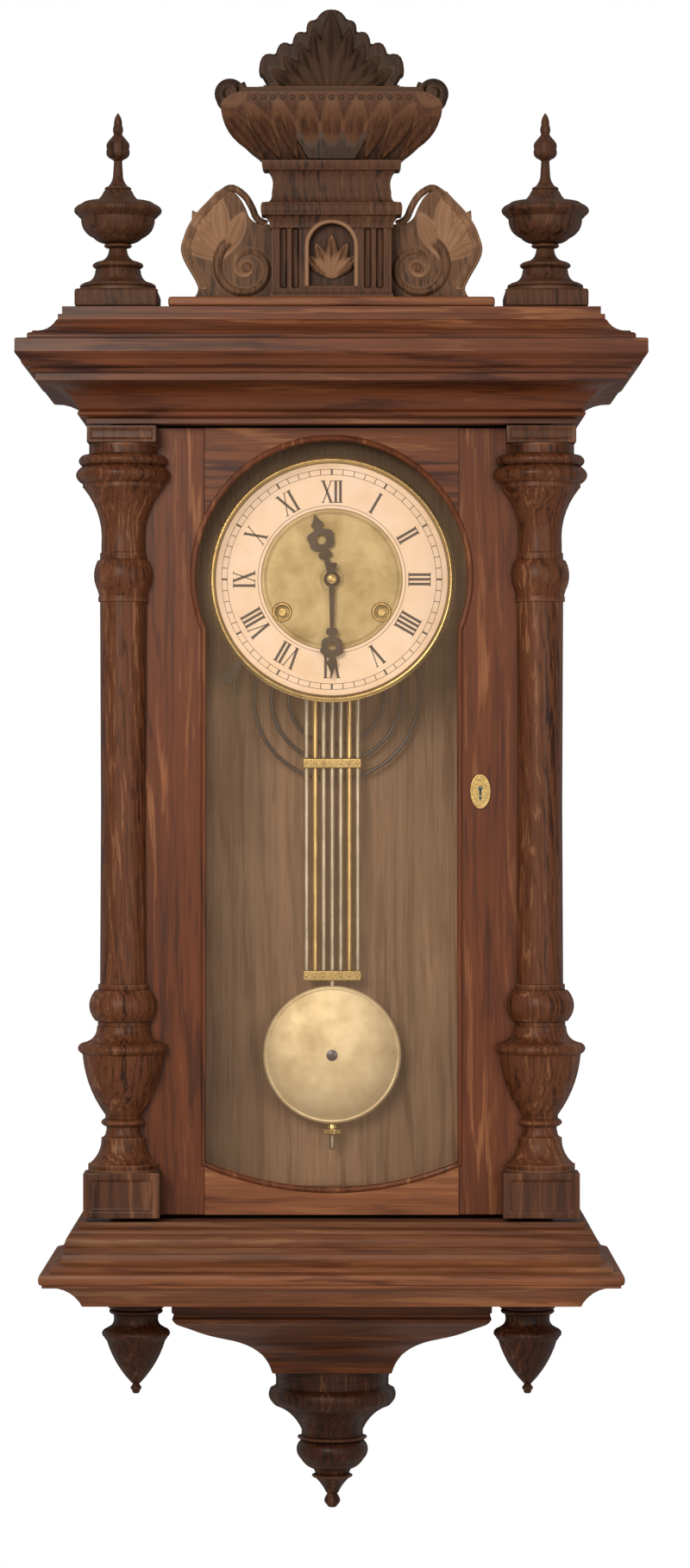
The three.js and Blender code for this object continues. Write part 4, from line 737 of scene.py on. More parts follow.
# Case mouldings, in shares of the greatest overhang and the height
cornice_stations = [
    (0.24, 0), (0.24, 0.045), (0.3, 0.05), (0.3, 0.115, 0.45), (0.31, 0.12), (0.33, 0.15),
    (0.76, 0.335, -0.15), (0.78, 0.34), (0.78, 0.4), (0.83, 0.405), (0.84, 0.44), (0.94, 0.515, 0.22),
    (0.95, 0.52), (0.97, 0.54), (1, 0.59, 0.2), (1, 0.68), (0.98, 0.69), (0.87, 0.7), (0.82, 0.75, 0.3),
    (0.81, 0.765), (0.56, 0.88, -0.15), (0.545, 0.885), (0.545, 0.93), (0.5, 0.935), (0.5, 1),
]
base_stations = [
    (0.39, 0), (0.42, 0.05), (0.95, 0.265, -0.14), (0.965, 0.27), (0.965, 0.3), (1, 0.31),
    (1, 0.42, 0.12), (0.965, 0.43), (0.85, 0.45), (0.85, 0.5), (0.82, 0.51), (0.665, 0.64, -0.2),
    (0.65, 0.645), (0.65, 0.71), (0.625, 0.72), (0.57, 0.86, 0.16), (0.56, 0.865), (0.48, 0.93, 0.25),
    (0.45, 0.935), (0.45, 1),
]


def moulding(name, node_name, stations):
    """A run round the case's front and sides"""
    low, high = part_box(node_name)
    profile = curved(stations, high.x - case_half, high.z - low.z, low.z)
    return stacked(name, [(case_half + out, out - door_front, height) for out, height in profile])


def cornice():
    low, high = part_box("cornice")
    front_wall, roof = 14 * mm, 12 * mm
    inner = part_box("top_board")[1].x
    socket_half = case_half + seat_gap
    socket_front = case_front - seat_gap
    socket_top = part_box("side_left")[1].z + seat_gap
    under = low.z - overrun
    piece = moulding("cornice_moulding", "cornice", cornice_stations)
    socket = block("socket", (-socket_half, socket_front, under), (socket_half, overrun, socket_top))
    hollow = block("hollow", (-inner, socket_front + front_wall, under), (inner, overrun, high.z - roof))
    cut(piece, socket, hollow)
    done(piece, "cornice_walnut", "case", ["cornice"])


def base_moulding():
    piece = moulding("base_moulding_run", "base_moulding", base_stations)
    done(piece, "base_walnut", "case", ["base_moulding"])


# Apron, in shares of its half width, its depth and its drop
apron_rows = [
    (0.38, 0.42, 1), (0.41, 0.45, 0.86), (0.47, 0.51, 0.72), (0.58, 0.63, 0.59), (0.77, 0.8, 0.47),
    (0.89, 0.905, 0.37), (0.97, 0.975, 0.3), (1, 1, 0.235),
]
apron_fillets = [(0.985, 0.985, 0.225), (0.985, 0.985, 0.175), (1, 1, 0.165), (1, 1, 0)]


def apron():
    low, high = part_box("apron")
    rows = flowing(apron_rows, 4) + apron_fillets
    rings = [(across * high.x, -out * low.y, high.z - down * (high.z - low.z)) for across, out, down in rows]
    piece = soften(stacked("apron_bracket", rings), 1.2 * mm, angle=60)
    done(piece, "apron_walnut", "case", ["apron"], angle=40)


# Turnings, in shares of the greatest radius and the length
drop_stations = [
    (0, 0), (0.09, 0.015, 0.3), (0.12, 0.06, 0.2), (0.08, 0.095), (0.1, 0.1), (0.27, 0.205, -0.05),
    (0.3, 0.21), (0.3, 0.235, 0.45), (0.27, 0.24), (0.3, 0.27), (0.5, 0.34, 0.1), (0.57, 0.405, 0.1),
    (0.5, 0.475, 0.12), (0.49, 0.48), (0.53, 0.485), (0.53, 0.51, 0.45), (0.49, 0.515), (0.49, 0.55),
    (0.9, 0.725, -0.1), (0.93, 0.73), (0.95, 0.74), (0.98, 0.85, 0.2), (0.93, 0.86), (0.9, 0.87),
    (0.9, 0.93), (0.91, 0.935), (0.91, 1), (0, 1),
]
pendant_stations = [
    (0, 0), (0.12, 0.03, 0.35), (0.13, 0.08, 0.3), (0.1, 0.1), (0.14, 0.11), (0.9, 0.57, 0.06),
    (0.93, 0.575), (0.97, 0.6), (0.97, 0.68, 0.3), (0.9, 0.69), (0.86, 0.7), (0.68, 0.82, -0.2),
    (0.68, 0.84), (0.76, 0.85), (0.76, 0.9, 0.4), (0.84, 0.91), (0.84, 1), (0, 1),
]
column_stations = [
    (0, 0), (0.8, 0), (0.8, 0.009), (0.75, 0.01), (0.5, 0.045, -0.12), (0.4, 0.053, -0.2), (0.385, 0.055),
    (0.385, 0.06), (0.43, 0.061), (0.43, 0.071, 0.45), (0.41, 0.072), (0.41, 0.076), (0.93, 0.16, 0.07),
    (0.955, 0.161), (0.955, 0.175, 0.35), (0.9, 0.176), (0.6, 0.198, -0.2), (0.58, 0.199), (0.58, 0.205),
    (0.64, 0.206), (0.64, 0.248, 0.2), (0.57, 0.249), (0.57, 0.256), (0.53, 0.257), (0.51, 0.5),
    (0.53, 0.783), (0.57, 0.784), (0.57, 0.79), (0.55, 0.792), (0.59, 0.8), (0.59, 0.84, 0.12),
    (0.53, 0.842), (0.53, 0.85), (0.5, 0.852), (0.5, 0.862), (0.9, 0.94, -0.1), (0.925, 0.941),
    (0.925, 0.946), (0.98, 0.948), (0.98, 0.968, 0.3), (0.93, 0.97), (0.93, 0.985, 0.35), (0.78, 0.987),
    (0.78, 1), (0, 1),
]
urn_stations = [
    (0, 0), (0.97, 0), (0.97, 0.018), (0.9, 0.022), (0.88, 0.045, 0.35), (0.84, 0.05),
    (0.55, 0.125, -0.2), (0.53, 0.13), (0.56, 0.135), (0.56, 0.165, 0.45), (0.5, 0.17),
    (0.22, 0.24, -0.2), (0.2, 0.245), (0.3, 0.25), (0.3, 0.27, 0.45), (0.26, 0.275), (0.6, 0.305, 0.12),
    (0.9, 0.41, 0.16), (0.95, 0.42), (0.99, 0.43), (0.99, 0.48, 0.35), (0.9, 0.49), (0.84, 0.5),
    (0.34, 0.565, -0.2), (0.3, 0.57), (0.3, 0.585, 0.4), (0.24, 0.59), (0.12, 0.66, -0.1), (0.1, 0.73),
    (0.14, 0.74), (0.27, 0.8, 0.25), (0.24, 0.84, 0.15), (0.13, 0.87), (0.1, 0.88), (0.1, 0.93, 0.12),
    (0, 1, 0.1),
]


def drop():
    low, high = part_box("drop")
    profile = curved(drop_stations, high.x, high.z - low.z, low.z, 7)
    # Its dark finish holds painted shade from the base above it
    done(turned("turned_drop", profile, 0, 0, 40, half_turn), "turned_dark_and_shaded", "case", ["drop"], angle=40)


def corner_pendants():
    low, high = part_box("corner_pendant_right")
    centre = (low + high) / 2
    profile = curved(pendant_stations, high.x - centre.x, high.z - low.z, low.z)
    piece = turned("pendant_right", profile, centre.x, centre.y, 40)
    # Their dark finish holds painted shade from the base above them
    done_twice(piece, "turned_dark_and_shaded", "case", "corner_pendant", angle=40)


def finials():
    low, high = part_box("finial_right")
    centre = (low + high) / 2
    foot_top = low.z + 13.5 * mm
    foot = block("finial_foot_right", low, (high.x, high.y, foot_top))
    soften(foot, width=2 * mm, segments=3)
    profile = curved(urn_stations, high.x - centre.x, high.z - foot_top, foot_top)
    urn = turned("finial_urn_right", profile, centre.x, centre.y, 44)
    done_twice(foot, "carved_dark", "case")
    done_twice(urn, "carved_dark", "case", "finial", angle=40)


# Crest, in shares of half its width and its height
panel_rows = [
    (0.92, 0), (0.885, 0.09), (0.91, 0.19), (0.985, 0.37), (1, 0.47), (0.98, 0.57), (0.95, 0.67),
    (0.89, 0.79), (0.82, 0.89), (0.76, 0.97), (0.7, 1), (0.62, 0.93), (0.57, 0.82), (0.54, 0.73),
    (0.47, 0.68), (0.3, 0.68),
]
pillar_rows = [
    (0.885, 0), (0.885, 0.02), (0.86, 0.03), (0.86, 0.5), (0.885, 0.51), (0.885, 0.54), (1, 0.6, -0.2),
    (1, 0.69, 0.2), (0.9, 0.7), (0.86, 0.77, -0.2), (0.845, 0.84, -0.05), (0.9, 0.93, -0.12),
    (0.93, 0.94), (1, 0.97, 0.3), (1, 1),
]
capital_rows = [
    (0.585, 0), (0.6, 0.04), (0.685, 0.13), (0.765, 0.24), (0.84, 0.36), (0.9, 0.48), (0.93, 0.58),
    (0.9, 0.68), (0.78, 0.76), (0.6, 0.82),
]
crown_stations = [
    (0.2, 0), (0.34, 0.2), (0.48, 0.42), (0.58, 0.56), (0.61, 0.6, 0.2), (0.47, 0.7, 0.32),
    (0.33, 0.765, 0.32), (0.21, 0.845, 0.32), (0.13, 0.93, 0.32), (0, 1, 0.15),
]
# Leaves: the turn in radians, the length and the width in millimetres
panel_leaves = [(-0.1, 52, 15), (-0.55, 44, 14), (0.42, 40, 13), (-1.1, 34, 12)]
crown_leaves = [(0, 78, 19), (0.21, 67, 15), (0.43, 60, 16), (0.68, 59, 16), (0.92, 60, 15), (1.16, 56, 13)]
dome = [(0, 0), (1, 1, 0.3), (0, 1)]
crest_edge = 2.2 * mm


def leaf_model():
    """One carved leaf of unit length that points up, with a hollow along its middle"""
    steps = 9
    belly_height, fullness, hollow = 1.25, 0.8, 0.55
    profile = [(0, 0)]
    for step in range(1, steps):
        share = step / steps
        profile.append((0.5 * math.sin(half_turn * share ** belly_height) ** fullness, share))
    piece = turned("leaf_model", profile + [(0, 1)], 0, 0, 16)
    pick(piece, "VERT", lambda vertex: abs(vertex.co.x) < 0.02 and vertex.co.y < -0.05)
    bpy.ops.transform.resize(value=(1, hollow, 1), center_override=(0, 0, 0))
    bpy.ops.object.mode_set(mode="OBJECT")
    return piece


def leaf(model, root, length, width, thickness, turn, lean=0.0):
    """A leaf from its root, turned clockwise as the viewer sees it"""
    piece = duplicate(model, "leaf")
    piece.scale = (width, thickness, length)
    piece.rotation_euler = (lean, turn, 0)
    piece.location = root
    return settle(piece)


def volute(x, y, z, radius, thickness, side, turns, start):
    """A scroll that winds in and thins towards its eye"""
    wound_in, thinned = 0.86, 0.55
    steps = 44
    points = []
    shares = []
    for step in range(steps + 1):
        share = step / steps
        angle = start + side * share * turns * full_turn
        point_x, point_z = polar(x, z, radius * (1 - wound_in * share), angle)
        points.append((point_x, y, point_z))
        shares.append(1 - thinned * share)
    return strand("scroll", points, thickness, shares)


def crest_plinth():
    piece = soften(block("crest_plinth_board", *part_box("crest_plinth")), crest_edge, segments=3)
    done(piece, "pale_and_lit_across", "case", ["crest_plinth"])


def crest_panel(model):
    low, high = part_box("crest_panel")
    relief_depth = 3 * mm
    half = [(across * high.x, low.z + up * (high.z - low.z)) for across, up in flowing(panel_rows, 3)]
    piece = board("crest_panel_board", both_sides(half), high.y, high.y - low.y - relief_depth)
    soften(piece, crest_edge, segments=3, angle=50)
    rim_inset, rim_width, rim_y = 5 * mm, 5.5 * mm, low.y + 3.2 * mm
    scroll_x, scroll_y, scroll_z = 64 * mm, low.y + relief_depth, low.z + 24 * mm
    scroll_radius, scroll_width = 24 * mm, 8 * mm
    eye_stations = [(0, 0), (0.75, 0.15, 0.25), (1, 1, 0.3), (0, 1)]
    eye_radius, eye_depth = 5 * mm, 5.5 * mm
    eye = curved(eye_stations, eye_radius, eye_depth, low.y, steps=5)
    leaf_x, leaf_y, leaf_z = 82 * mm, low.y + 4.6 * mm, low.z + 30 * mm
    leaf_thickness = 8 * mm
    carving = []
    for side in (-1, 1):
        path = [(side * (x - rim_inset), rim_y, z) for x, z in half[3:-3]]
        carving.append(strand("panel_rim", path, rim_width))
        carving.append(volute(
            side * scroll_x, scroll_y, scroll_z, scroll_radius, scroll_width, side,
            turns=1.6, start=0.6 * side,
        ))
        carving.append(faced("panel_eye", eye, side * scroll_x, scroll_z, 20))
        for turn, length, width in panel_leaves:
            root = (side * leaf_x, leaf_y, leaf_z)
            carving.append(leaf(model, root, length * mm, width * mm, leaf_thickness, -side * turn))
    done(piece, "carved_walnut", "case", ["crest_panel"], angle=40)
    done(joined("crest_panel_carving", carving), "carved_walnut", "case", angle=50)


def arch(half, low, rise, steps=14):
    """A round-headed outline about x = 0"""
    turns = [quarter_turn - half_turn * step / steps for step in range(steps + 1)]
    return [(-half, low), (half, low)] + [polar(0, low + rise, half, turn) for turn in turns]


def crest_pillar(model):
    low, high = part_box("crest_pillar")
    back, depth, height = high.y, high.y - low.y, high.z - low.z
    waist, waist_depth = 0.845, 0.72
    rings = []
    for across, up in curved(pillar_rows, 1, 1, steps=5):
        out = waist_depth + (1 - waist_depth) * (across - waist) / (1 - waist)
        rings.append((across * high.x, depth * out, low.z + up * height))
    piece = stacked("crest_pillar_block", rings, back)
    niche_half, niche_low, niche_rise = 17 * mm, low.z + 8 * mm, 30 * mm
    niche_back, niche_reach = back - 8 * mm, 30 * mm
    niche = board("niche", arch(niche_half, niche_low, niche_rise), niche_back, niche_reach)
    flute_radius, flute_height, flute_low = 3 * mm, 46 * mm, low.z + 6 * mm
    flute_stations = [(0, 0), (1, 0.08, 0.3), (1, 0.92), (0, 1, 0.3)]
    flute = curved(flute_stations, flute_radius, flute_height, flute_low)
    flute_y = back - depth * 0.74
    flutes = [turned("flute", flute, x * mm, flute_y, 16) for x in (-36, -27, 27, 36)]
    cut(piece, niche, *flutes)
    bead_spread, bead_width, bead_y = 1.5 * mm, 3.2 * mm, back - depth * 0.745
    outline = arch(niche_half + bead_spread, niche_low, niche_rise)
    bead = strand("crest_niche_bead", [(x, bead_y, z) for x, z in outline[1:] + outline[:1]], bead_width)
    done(piece, "carved_dark", "case", ["crest_pillar"])
    done(bead, "carved_walnut", "case")
    root = (0, niche_back - 1.5 * mm, niche_low + 6 * mm)
    shell = []
    for place in range(-2, 3):
        length = (34 - 4 * abs(place)) * mm
        shell.append(leaf(model, root, length, width=10 * mm, thickness=7 * mm, turn=place * 0.42))
    done(joined("crest_niche_shell", shell), "carved_walnut", "case", angle=50)


def crest_capital(model):
    low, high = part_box("crest_capital")
    back, depth = high.y, high.y - low.y
    body_height = 66 * mm
    foot_depth, depth_gain, gained_up = 0.5, 0.42, 0.6
    rings = []
    for across, up in flowing(capital_rows, 3):
        out = foot_depth + depth_gain * min(1, up / gained_up)
        rings.append((across * high.x, depth * out, low.z + up * body_height))
    piece = stacked("crest_capital_body", rings, back)
    done(piece, "carved_dark", "case", ["crest_capital"], angle=40)
    leaf_reach, leaf_y, leaf_z = 50 * mm, back - 19 * mm, low.z + 1 * mm
    foot_leaves = []
    for share in evenly(9):
        root = (share * leaf_reach, leaf_y, leaf_z)
        foot_leaves.append(leaf(
            model, root, length=50 * mm, width=15 * mm, thickness=11 * mm, turn=share * 0.72, lean=0.22,
        ))
    crown = crown_fan(model, low, high) + capital_ears(low, depth) + capital_rim(low, back)
    done(joined("crest_crown", crown), "carved_crown", "case", angle=50)
    done(joined("crest_capital_carving", foot_leaves), "carved_dark", "case", angle=50)


def crown_fan(model, low, high):
    """The crown's board with its fan of leaves"""
    height = high.z - low.z
    outline = curved(crown_stations, 1, 1, steps=5)
    half = [(across * high.x, low.z + up * height) for across, up in outline]
    board_back, board_depth, board_edge = high.y - 7 * mm, 18 * mm, 2 * mm
    crown = board("crown_board", both_sides(half), board_back, board_depth)
    parts = [soften(crown, board_edge, segments=3, angle=40)]
    fan_y, fan_z = high.y - 26 * mm, low.z + 34 * mm
    overlap, leaf_thickness = 0.6 * mm, 13 * mm
    for place, (turn, length, width) in enumerate(crown_leaves):
        root = (0, fan_y + place * overlap, fan_z)
        for side in (-1, 1) if turn else (1,):
            parts.append(leaf(model, root, length * mm, width * mm, leaf_thickness, side * turn))
    return parts


def capital_ears(low, depth):
    """A scroll at each end of the capital, on a turned boss"""
    ear_x, ear_z = 76 * mm, low.z + 50 * mm
    ear_radius, ear_front, scroll_y = 11 * mm, low.y + 5 * mm, low.y + 6 * mm
    ear_stations = [(0, 0), (0.45, 0.05, 0.3), (0.95, 0.2), (1, 0.3, 0.3), (1, 1), (0, 1)]
    ear = curved(ear_stations, ear_radius, depth * 0.8, ear_front)
    parts = []
    for side in (-1, 1):
        parts.append(volute(
            side * ear_x, scroll_y, ear_z, radius=10.5 * mm, thickness=7 * mm, side=-side,
            turns=1.5, start=-side * 0.9,
        ))
        parts.append(faced("capital_ear", ear, side * ear_x, ear_z, 28))
    return parts


def capital_rim(low, back):
    """The capital's rim, over a row of pearls"""
    rim_half, rim_end, rim_width = 66 * mm, back - 8 * mm, 4 * mm
    rim_y, rim_z = low.y + 3.6 * mm, low.z + 52 * mm
    pearl_radius, pearl_y = 2.4 * mm, low.y + 1.6 * mm
    pearl_reach, pearl_z = 58 * mm, rim_z - 6 * mm
    corners = [(-rim_half, rim_end), (-rim_half, rim_y), (rim_half, rim_y), (rim_half, rim_end)]
    parts = [strand("capital_rim", [(x, y, rim_z) for x, y in corners], rim_width)]
    pearl = curved(dome, pearl_radius, pearl_radius, pearl_y, steps=5)
    for share in evenly(17):
        parts.append(faced("capital_pearl", pearl, share * pearl_reach, pearl_z, 16))
    return parts


# Case boards
def softened_copy(name, node_name, finish, width=edge_width):
    """A copy of a node with its doubles merged, its flats whole and its edges rounded"""
    piece = duplicate(frame["nodes"][node_name], name)
    piece.parent = None
    for key in list(piece.keys()):
        del piece[key]
    clean(piece)
    edit(piece)
    bpy.ops.mesh.dissolve_limited(angle_limit=math.radians(0.5))
    bpy.ops.object.mode_set(mode="OBJECT")
    soften(piece, width, angle=35)
    done(piece, finish, body_of[node_name], [node_name])


def window_beads():
    low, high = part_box("side_glass_right")
    x = case_half - 1.2 * mm
    corners = [(x, low.y, low.z), (x, high.y, low.z), (x, high.y, high.z), (x, low.y, high.z)]
    bead = strand("window_bead_right", corners, thickness=4.4 * mm, closed=True)
    done_twice(bead, "dark_walnut", "case")


def case_boards():
    softened_copy("back_board", "backboard", "walnut_inside")
    softened_copy("left_side", "side_left", "walnut", width=0.3 * mm)
    softened_copy("right_side", "side_right", "walnut", width=0.3 * mm)
    softened_copy("top_shelf", "top_board", "walnut_across")
    softened_copy("bottom_shelf", "bottom_board", "walnut_across")
    softened_copy("hanger", "hanger_plate", "steel", width=0.4 * mm)
    window_beads()


# Door
def sight(spread_by, steps=40):
    """The round-headed opening of the door, spread evenly"""
    radius = sight_radius + spread_by
    half = sight_half + spread_by
    bottom = sight_bottom - spread_by
    corner = bottom + sight_bottom_rise
    start = half_turn + quarter_turn - math.acos(-half / radius)
    outline = [polar(0, dial_z, radius, start * (1 - 2 * step / steps)) for step in range(steps + 1)]
    return outline + curved([(-half, corner), (0, bottom, 0.05), (half, corner, 0.05)], 1, 1, steps=8)


def door_board(name, node_name, finish, *more):
    """A stile or rail with the sight, the pane's rebate and more cut out of it"""
    piece = block(name, *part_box(node_name))
    rebate_width, rebate_depth = 4.5 * mm, 6 * mm
    rear = door_rear + overrun
    opening = board("sight", sight(0), rear, rear - door_front + overrun)
    rebate = board("rebate", sight(rebate_width), rear, rebate_depth + overrun)
    cut(piece, opening, rebate, *more)
    if node_name != "door_bottom_rail":
        soften(piece, edge_width, angle=50)
    done(piece, finish, "door", [node_name], angle=30)


def hinge_recess(node_name):
    """Room in the stile's rear face for a hinge leaf"""
    low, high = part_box(node_name)
    start = (low.x - overrun, door_rear - hinge_thickness - seat_gap, low.z - seat_gap)
    return block("recess", start, (hinge_edge_x + seat_gap, door_rear + overrun, high.z + seat_gap))


def door_frame():
    recesses = [hinge_recess(f"hinge_{place}_door_leaf") for place in ("upper", "lower")]
    door_board("stile_left", "door_stile_left", "walnut", *recesses)
    lock_middle = middle_of("lock_escutcheon")
    barrel_room = 5.3 * mm
    lock_hole = drill(barrel_room, lock_middle.x, lock_middle.z, door_front, door_rear)
    door_board("stile_right", "door_stile_right", "walnut", lock_hole)
    door_board("rail_top", "door_top_rail", "walnut_across")
    # Painted light: the paler copy of the walnut lifts the bottom rail
    door_board("rail_bottom", "door_bottom_rail", "pale_and_lit_across")
    bead_seat = 0.6 * mm
    path = [(x, door_front + bead_seat, z) for x, z in sight(bead_seat, 60)]
    done(strand("sight_bead", path, thickness=4.6 * mm, closed=True), "walnut", "door")
    pane_lap, pane_thickness = 4.2 * mm, 2.5 * mm
    pane = board("door_pane", sight(pane_lap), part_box("door_glass")[1].y, pane_thickness)
    done(pane, "glass", "door", ["door_glass"])


def fielded(name, low, high, margin, depth):
    """A block with a sunk field in its front face"""
    piece = block(name, low, high)
    pick(piece, "FACE", lambda face: face.normal.y < -0.9)
    bpy.ops.mesh.inset(thickness=margin, depth=0)
    bpy.ops.mesh.inset(thickness=depth, depth=-depth)
    bpy.ops.object.mode_set(mode="OBJECT")
    return soften(piece, width=0.8 * mm)


def columns():
    low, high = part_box("column_right")
    x, rear = (low.x + high.x) / 2, high.y
    shaft_low, shaft_high = -589 * mm, -43 * mm
    shaft_radius, abacus_half, pedestal_half = 33 * mm, 26 * mm, 28.6 * mm
    profile = curved(column_stations, shaft_radius, shaft_high - shaft_low, shaft_low, steps=7)
    shaft = turned("column_shaft_right", profile, x, rear, 32, half_turn)
    abacus = fielded(
        "column_abacus_right", (x - abacus_half, rear - abacus_half, shaft_high),
        (x + abacus_half, rear, high.z), margin=2.5 * mm, depth=1.2 * mm,
    )
    pedestal = fielded(
        "column_pedestal_right", (x - pedestal_half, rear - pedestal_half, low.z),
        (x + pedestal_half, rear, shaft_low), margin=5 * mm, depth=1.6 * mm,
    )
    done_twice(shaft, "turned_walnut", "door", "column", angle=40)
    done_twice(abacus, "dark_walnut", "door", angle=40)
    done_twice(pedestal, "dark_walnut", "door", angle=40)


# Hinges
hinge_axis_x = -171.8 * mm
hinge_axis_y = (case_front + door_rear) / 2
hinge_edge_x = -155 * mm
hinge_thickness = 1.6 * mm
knuckle_radius = 3.5 * mm
knuckle_end = 25.5 * mm
knuckle_third = 8.5 * mm
knuckle_spans = {
    "case": [(-knuckle_end, -knuckle_third - seat_gap), (knuckle_third + seat_gap, knuckle_end)],
    "door": [(-knuckle_third, knuckle_third)],
}


def screw(x, face_y, z, out):
    """A countersunk head with a slot, that shows to one side of a face"""
    proud, sunk = out * 0.08 * mm, out * 0.6 * mm
    rounded, widest = 2.2 * mm, 2.4 * mm
    profile = [(0, proud), (rounded, proud), (widest, -sunk), (0, -sunk)]
    head = faced("screw", [(radius, face_y + rise) for radius, rise in profile], x, z, 20)
    slot_half = Vector((2.5 * mm, 0.5 * mm, 0.3 * mm))
    middle = Vector((x, face_y, z))
    return cut(head, block("screw_slot", middle - slot_half, middle + slot_half))


def hinge_leaf(place, body):
    node_name = f"hinge_{place}_{body}_leaf"
    low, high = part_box(node_name)
    middle_z = (low.z + high.z) / 2
    on_case = body == "case"
    plate_y = case_front if on_case else door_rear - hinge_thickness
    plate_rear = plate_y + hinge_thickness
    clear_x = hinge_axis_x + knuckle_radius + 0.1 * mm
    neck_x = clear_x + 1 * mm
    knuckles = []
    necks = []
    for start, end in knuckle_spans[body]:
        rounding = 0.5 * mm / (end - start)
        stations = [(0, 0), (0.9, 0), (1, rounding), (1, 1 - rounding), (0.9, 1), (0, 1)]
        profile = curved(stations, knuckle_radius, end - start, middle_z + start)
        knuckles.append(turned("knuckle", profile, hinge_axis_x, hinge_axis_y, 24))
        necks.append(block(
            "neck", (hinge_axis_x, plate_y, middle_z + start), (neck_x, plate_rear, middle_z + end),
        ))
    plate = block("plate", (clear_x, plate_y, low.z), (hinge_edge_x, plate_rear, high.z))
    soften(plate, width=0.3 * mm)
    screw_x, screw_reach = -160.5 * mm, 18 * mm
    face_y, out = (plate_y, -1) if on_case else (plate_rear, 1)
    screws = [screw(screw_x, face_y, middle_z + up * screw_reach, out) for up in (-1, 1)]
    done(joined(f"hinge_{place}_{body}", knuckles + necks + [plate] + screws), "brass", body, [node_name])


def hinges():
    for place in ("upper", "lower"):
        for body in ("case", "door"):
            hinge_leaf(place, body)


def lock():
    low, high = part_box("lock_escutcheon")
    centre = (low + high) / 2
    sides = 40
    outline = []
    for side in range(sides):
        angle = full_turn * side / sides
        x = centre.x + (high.x - centre.x) * math.cos(angle)
        outline.append((x, centre.z + (high.z - centre.z) * math.sin(angle)))
    plate = board("escutcheon_plate", outline, high.y, high.y - low.y)
    eye_radius, eye_up, way_half, way_down = 2 * mm, 2 * mm, 1 * mm, 6 * mm
    eye = drill(eye_radius, centre.x, centre.z + eye_up, low.y, high.y, 20)
    way = block(
        "way", (centre.x - way_half, low.y - overrun, centre.z - way_down),
        (centre.x + way_half, high.y + overrun, centre.z + eye_up),
    )
    soften(cut(plate, eye, way), width=0.35 * mm)
    pin_radius, pin_depth, pin_proud, pin_up = 1.3 * mm, 0.8 * mm, 0.5 * mm, 10 * mm
    pin = curved(dome, pin_radius, pin_depth, low.y - pin_proud, steps=4)
    pins = [faced("escutcheon_pin", pin, centre.x, centre.z + side * pin_up, 16) for side in (-1, 1)]
    done(joined("escutcheon", [plate] + pins), "brass", "door", ["lock_escutcheon"])
    softened_copy("lock_arm", "lock_cam", "steel", width=0.15 * mm)


# Dial. Rings are (radius, rise) in millimetres
ground_rings = [
    (4.8, 0), (4.8, 0.75), (8, 0.8), (8.2, 0.45), (9, 0.45), (9.2, 0.7), (50, 0.7), (50.3, 0.4),
    (51.2, 0.4), (51.5, 0.9), (53.6, 0.9), (53.8, 0), (4.8, 0),
]
collet_rings = [
    (5.45, -0.4), (5.45, 1.3), (5.9, 1.7), (6.8, 1.7), (7.6, 1.1), (7.8, 0.5), (7.8, -0.4), (5.45, -0.4),
]
winding_x, winding_z = 38 * mm, dial_z - 25 * mm
winding_room = 5.4 * mm
bezel_stations = [
    (0, 0), (0, 0.4), (0.1, 0.45), (0.12, 0.75, -0.2), (0.2, 0.8), (0.5, 1, 0.3), (0.72, 0.75, 0.25),
    (0.74, 0.6), (0.84, 0.55), (1, 0.3, 0.3), (1, 0), (0, 0),
]
dial_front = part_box("chapter_ring")[0].y


def dial_ground():
    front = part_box("chapter_ring")[1].y
    piece = faced("dial_ground", raised(front, ground_rings), 0, dial_z, 96)
    cut(piece, *[drill(winding_room, side * winding_x, winding_z, front, front, 32) for side in (-1, 1)])
    done(piece, "gilt", "case", angle=30)
    for side, name in ((-1, "left"), (1, "right")):
        collet = faced(f"winding_collet_{name}", raised(front, collet_rings), side * winding_x, winding_z, 36)
        done(collet, "brass", "case")
    softened_copy("dial_back", "dial_plate", "gilt", width=0.3 * mm)


def chapter_ring():
    low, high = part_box("chapter_ring")
    back, front = high.y, low.y
    inner, outer = 54 * mm, high.x
    rolled = 1.4 * mm
    profile = [
        (inner, back), (inner, front + 0.5 * mm), (inner + 0.5 * mm, front + 0.1 * mm),
        (inner + rolled, front), ((inner + outer) / 2, front - 0.1 * mm), (outer - rolled, front),
        (outer - 0.4 * mm, front + 0.3 * mm), (outer, back), (inner, back),
    ]
    piece = faced("enamel_ring", profile, 0, dial_z, 128)
    done(piece, "enamel", "case", ["chapter_ring"], angle=30)


def bezel():
    low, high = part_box("bezel")
    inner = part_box("chapter_ring")[1].x + seat_gap
    stations = curved(bezel_stations, high.x - inner, low.y - high.y, high.y, steps=5)
    profile = [(inner + across, y) for across, y in stations]
    done(faced("bezel_ring", profile, 0, dial_z, 128), "brass", "case", ["bezel"], angle=30)


# Dial paint
paint_thickness = 0.12 * mm
paint_front = dial_front - 0.02 * mm
numerals = ["XII", "I", "II", "III", "IIII", "V", "VI", "VII", "VIII", "IX", "X", "XI"]
numeral_low = 58.5 * mm
numeral_high = 75.5 * mm
numeral_room = 23 * mm
serif_height = 0.55 * mm
serif_reach = 0.75 * mm
stroke_widths = {"thick": 2.1 * mm, "thin": 0.8 * mm}
letter_widths = {"I": 3.6 * mm, "V": 9.6 * mm, "X": 9.6 * mm}
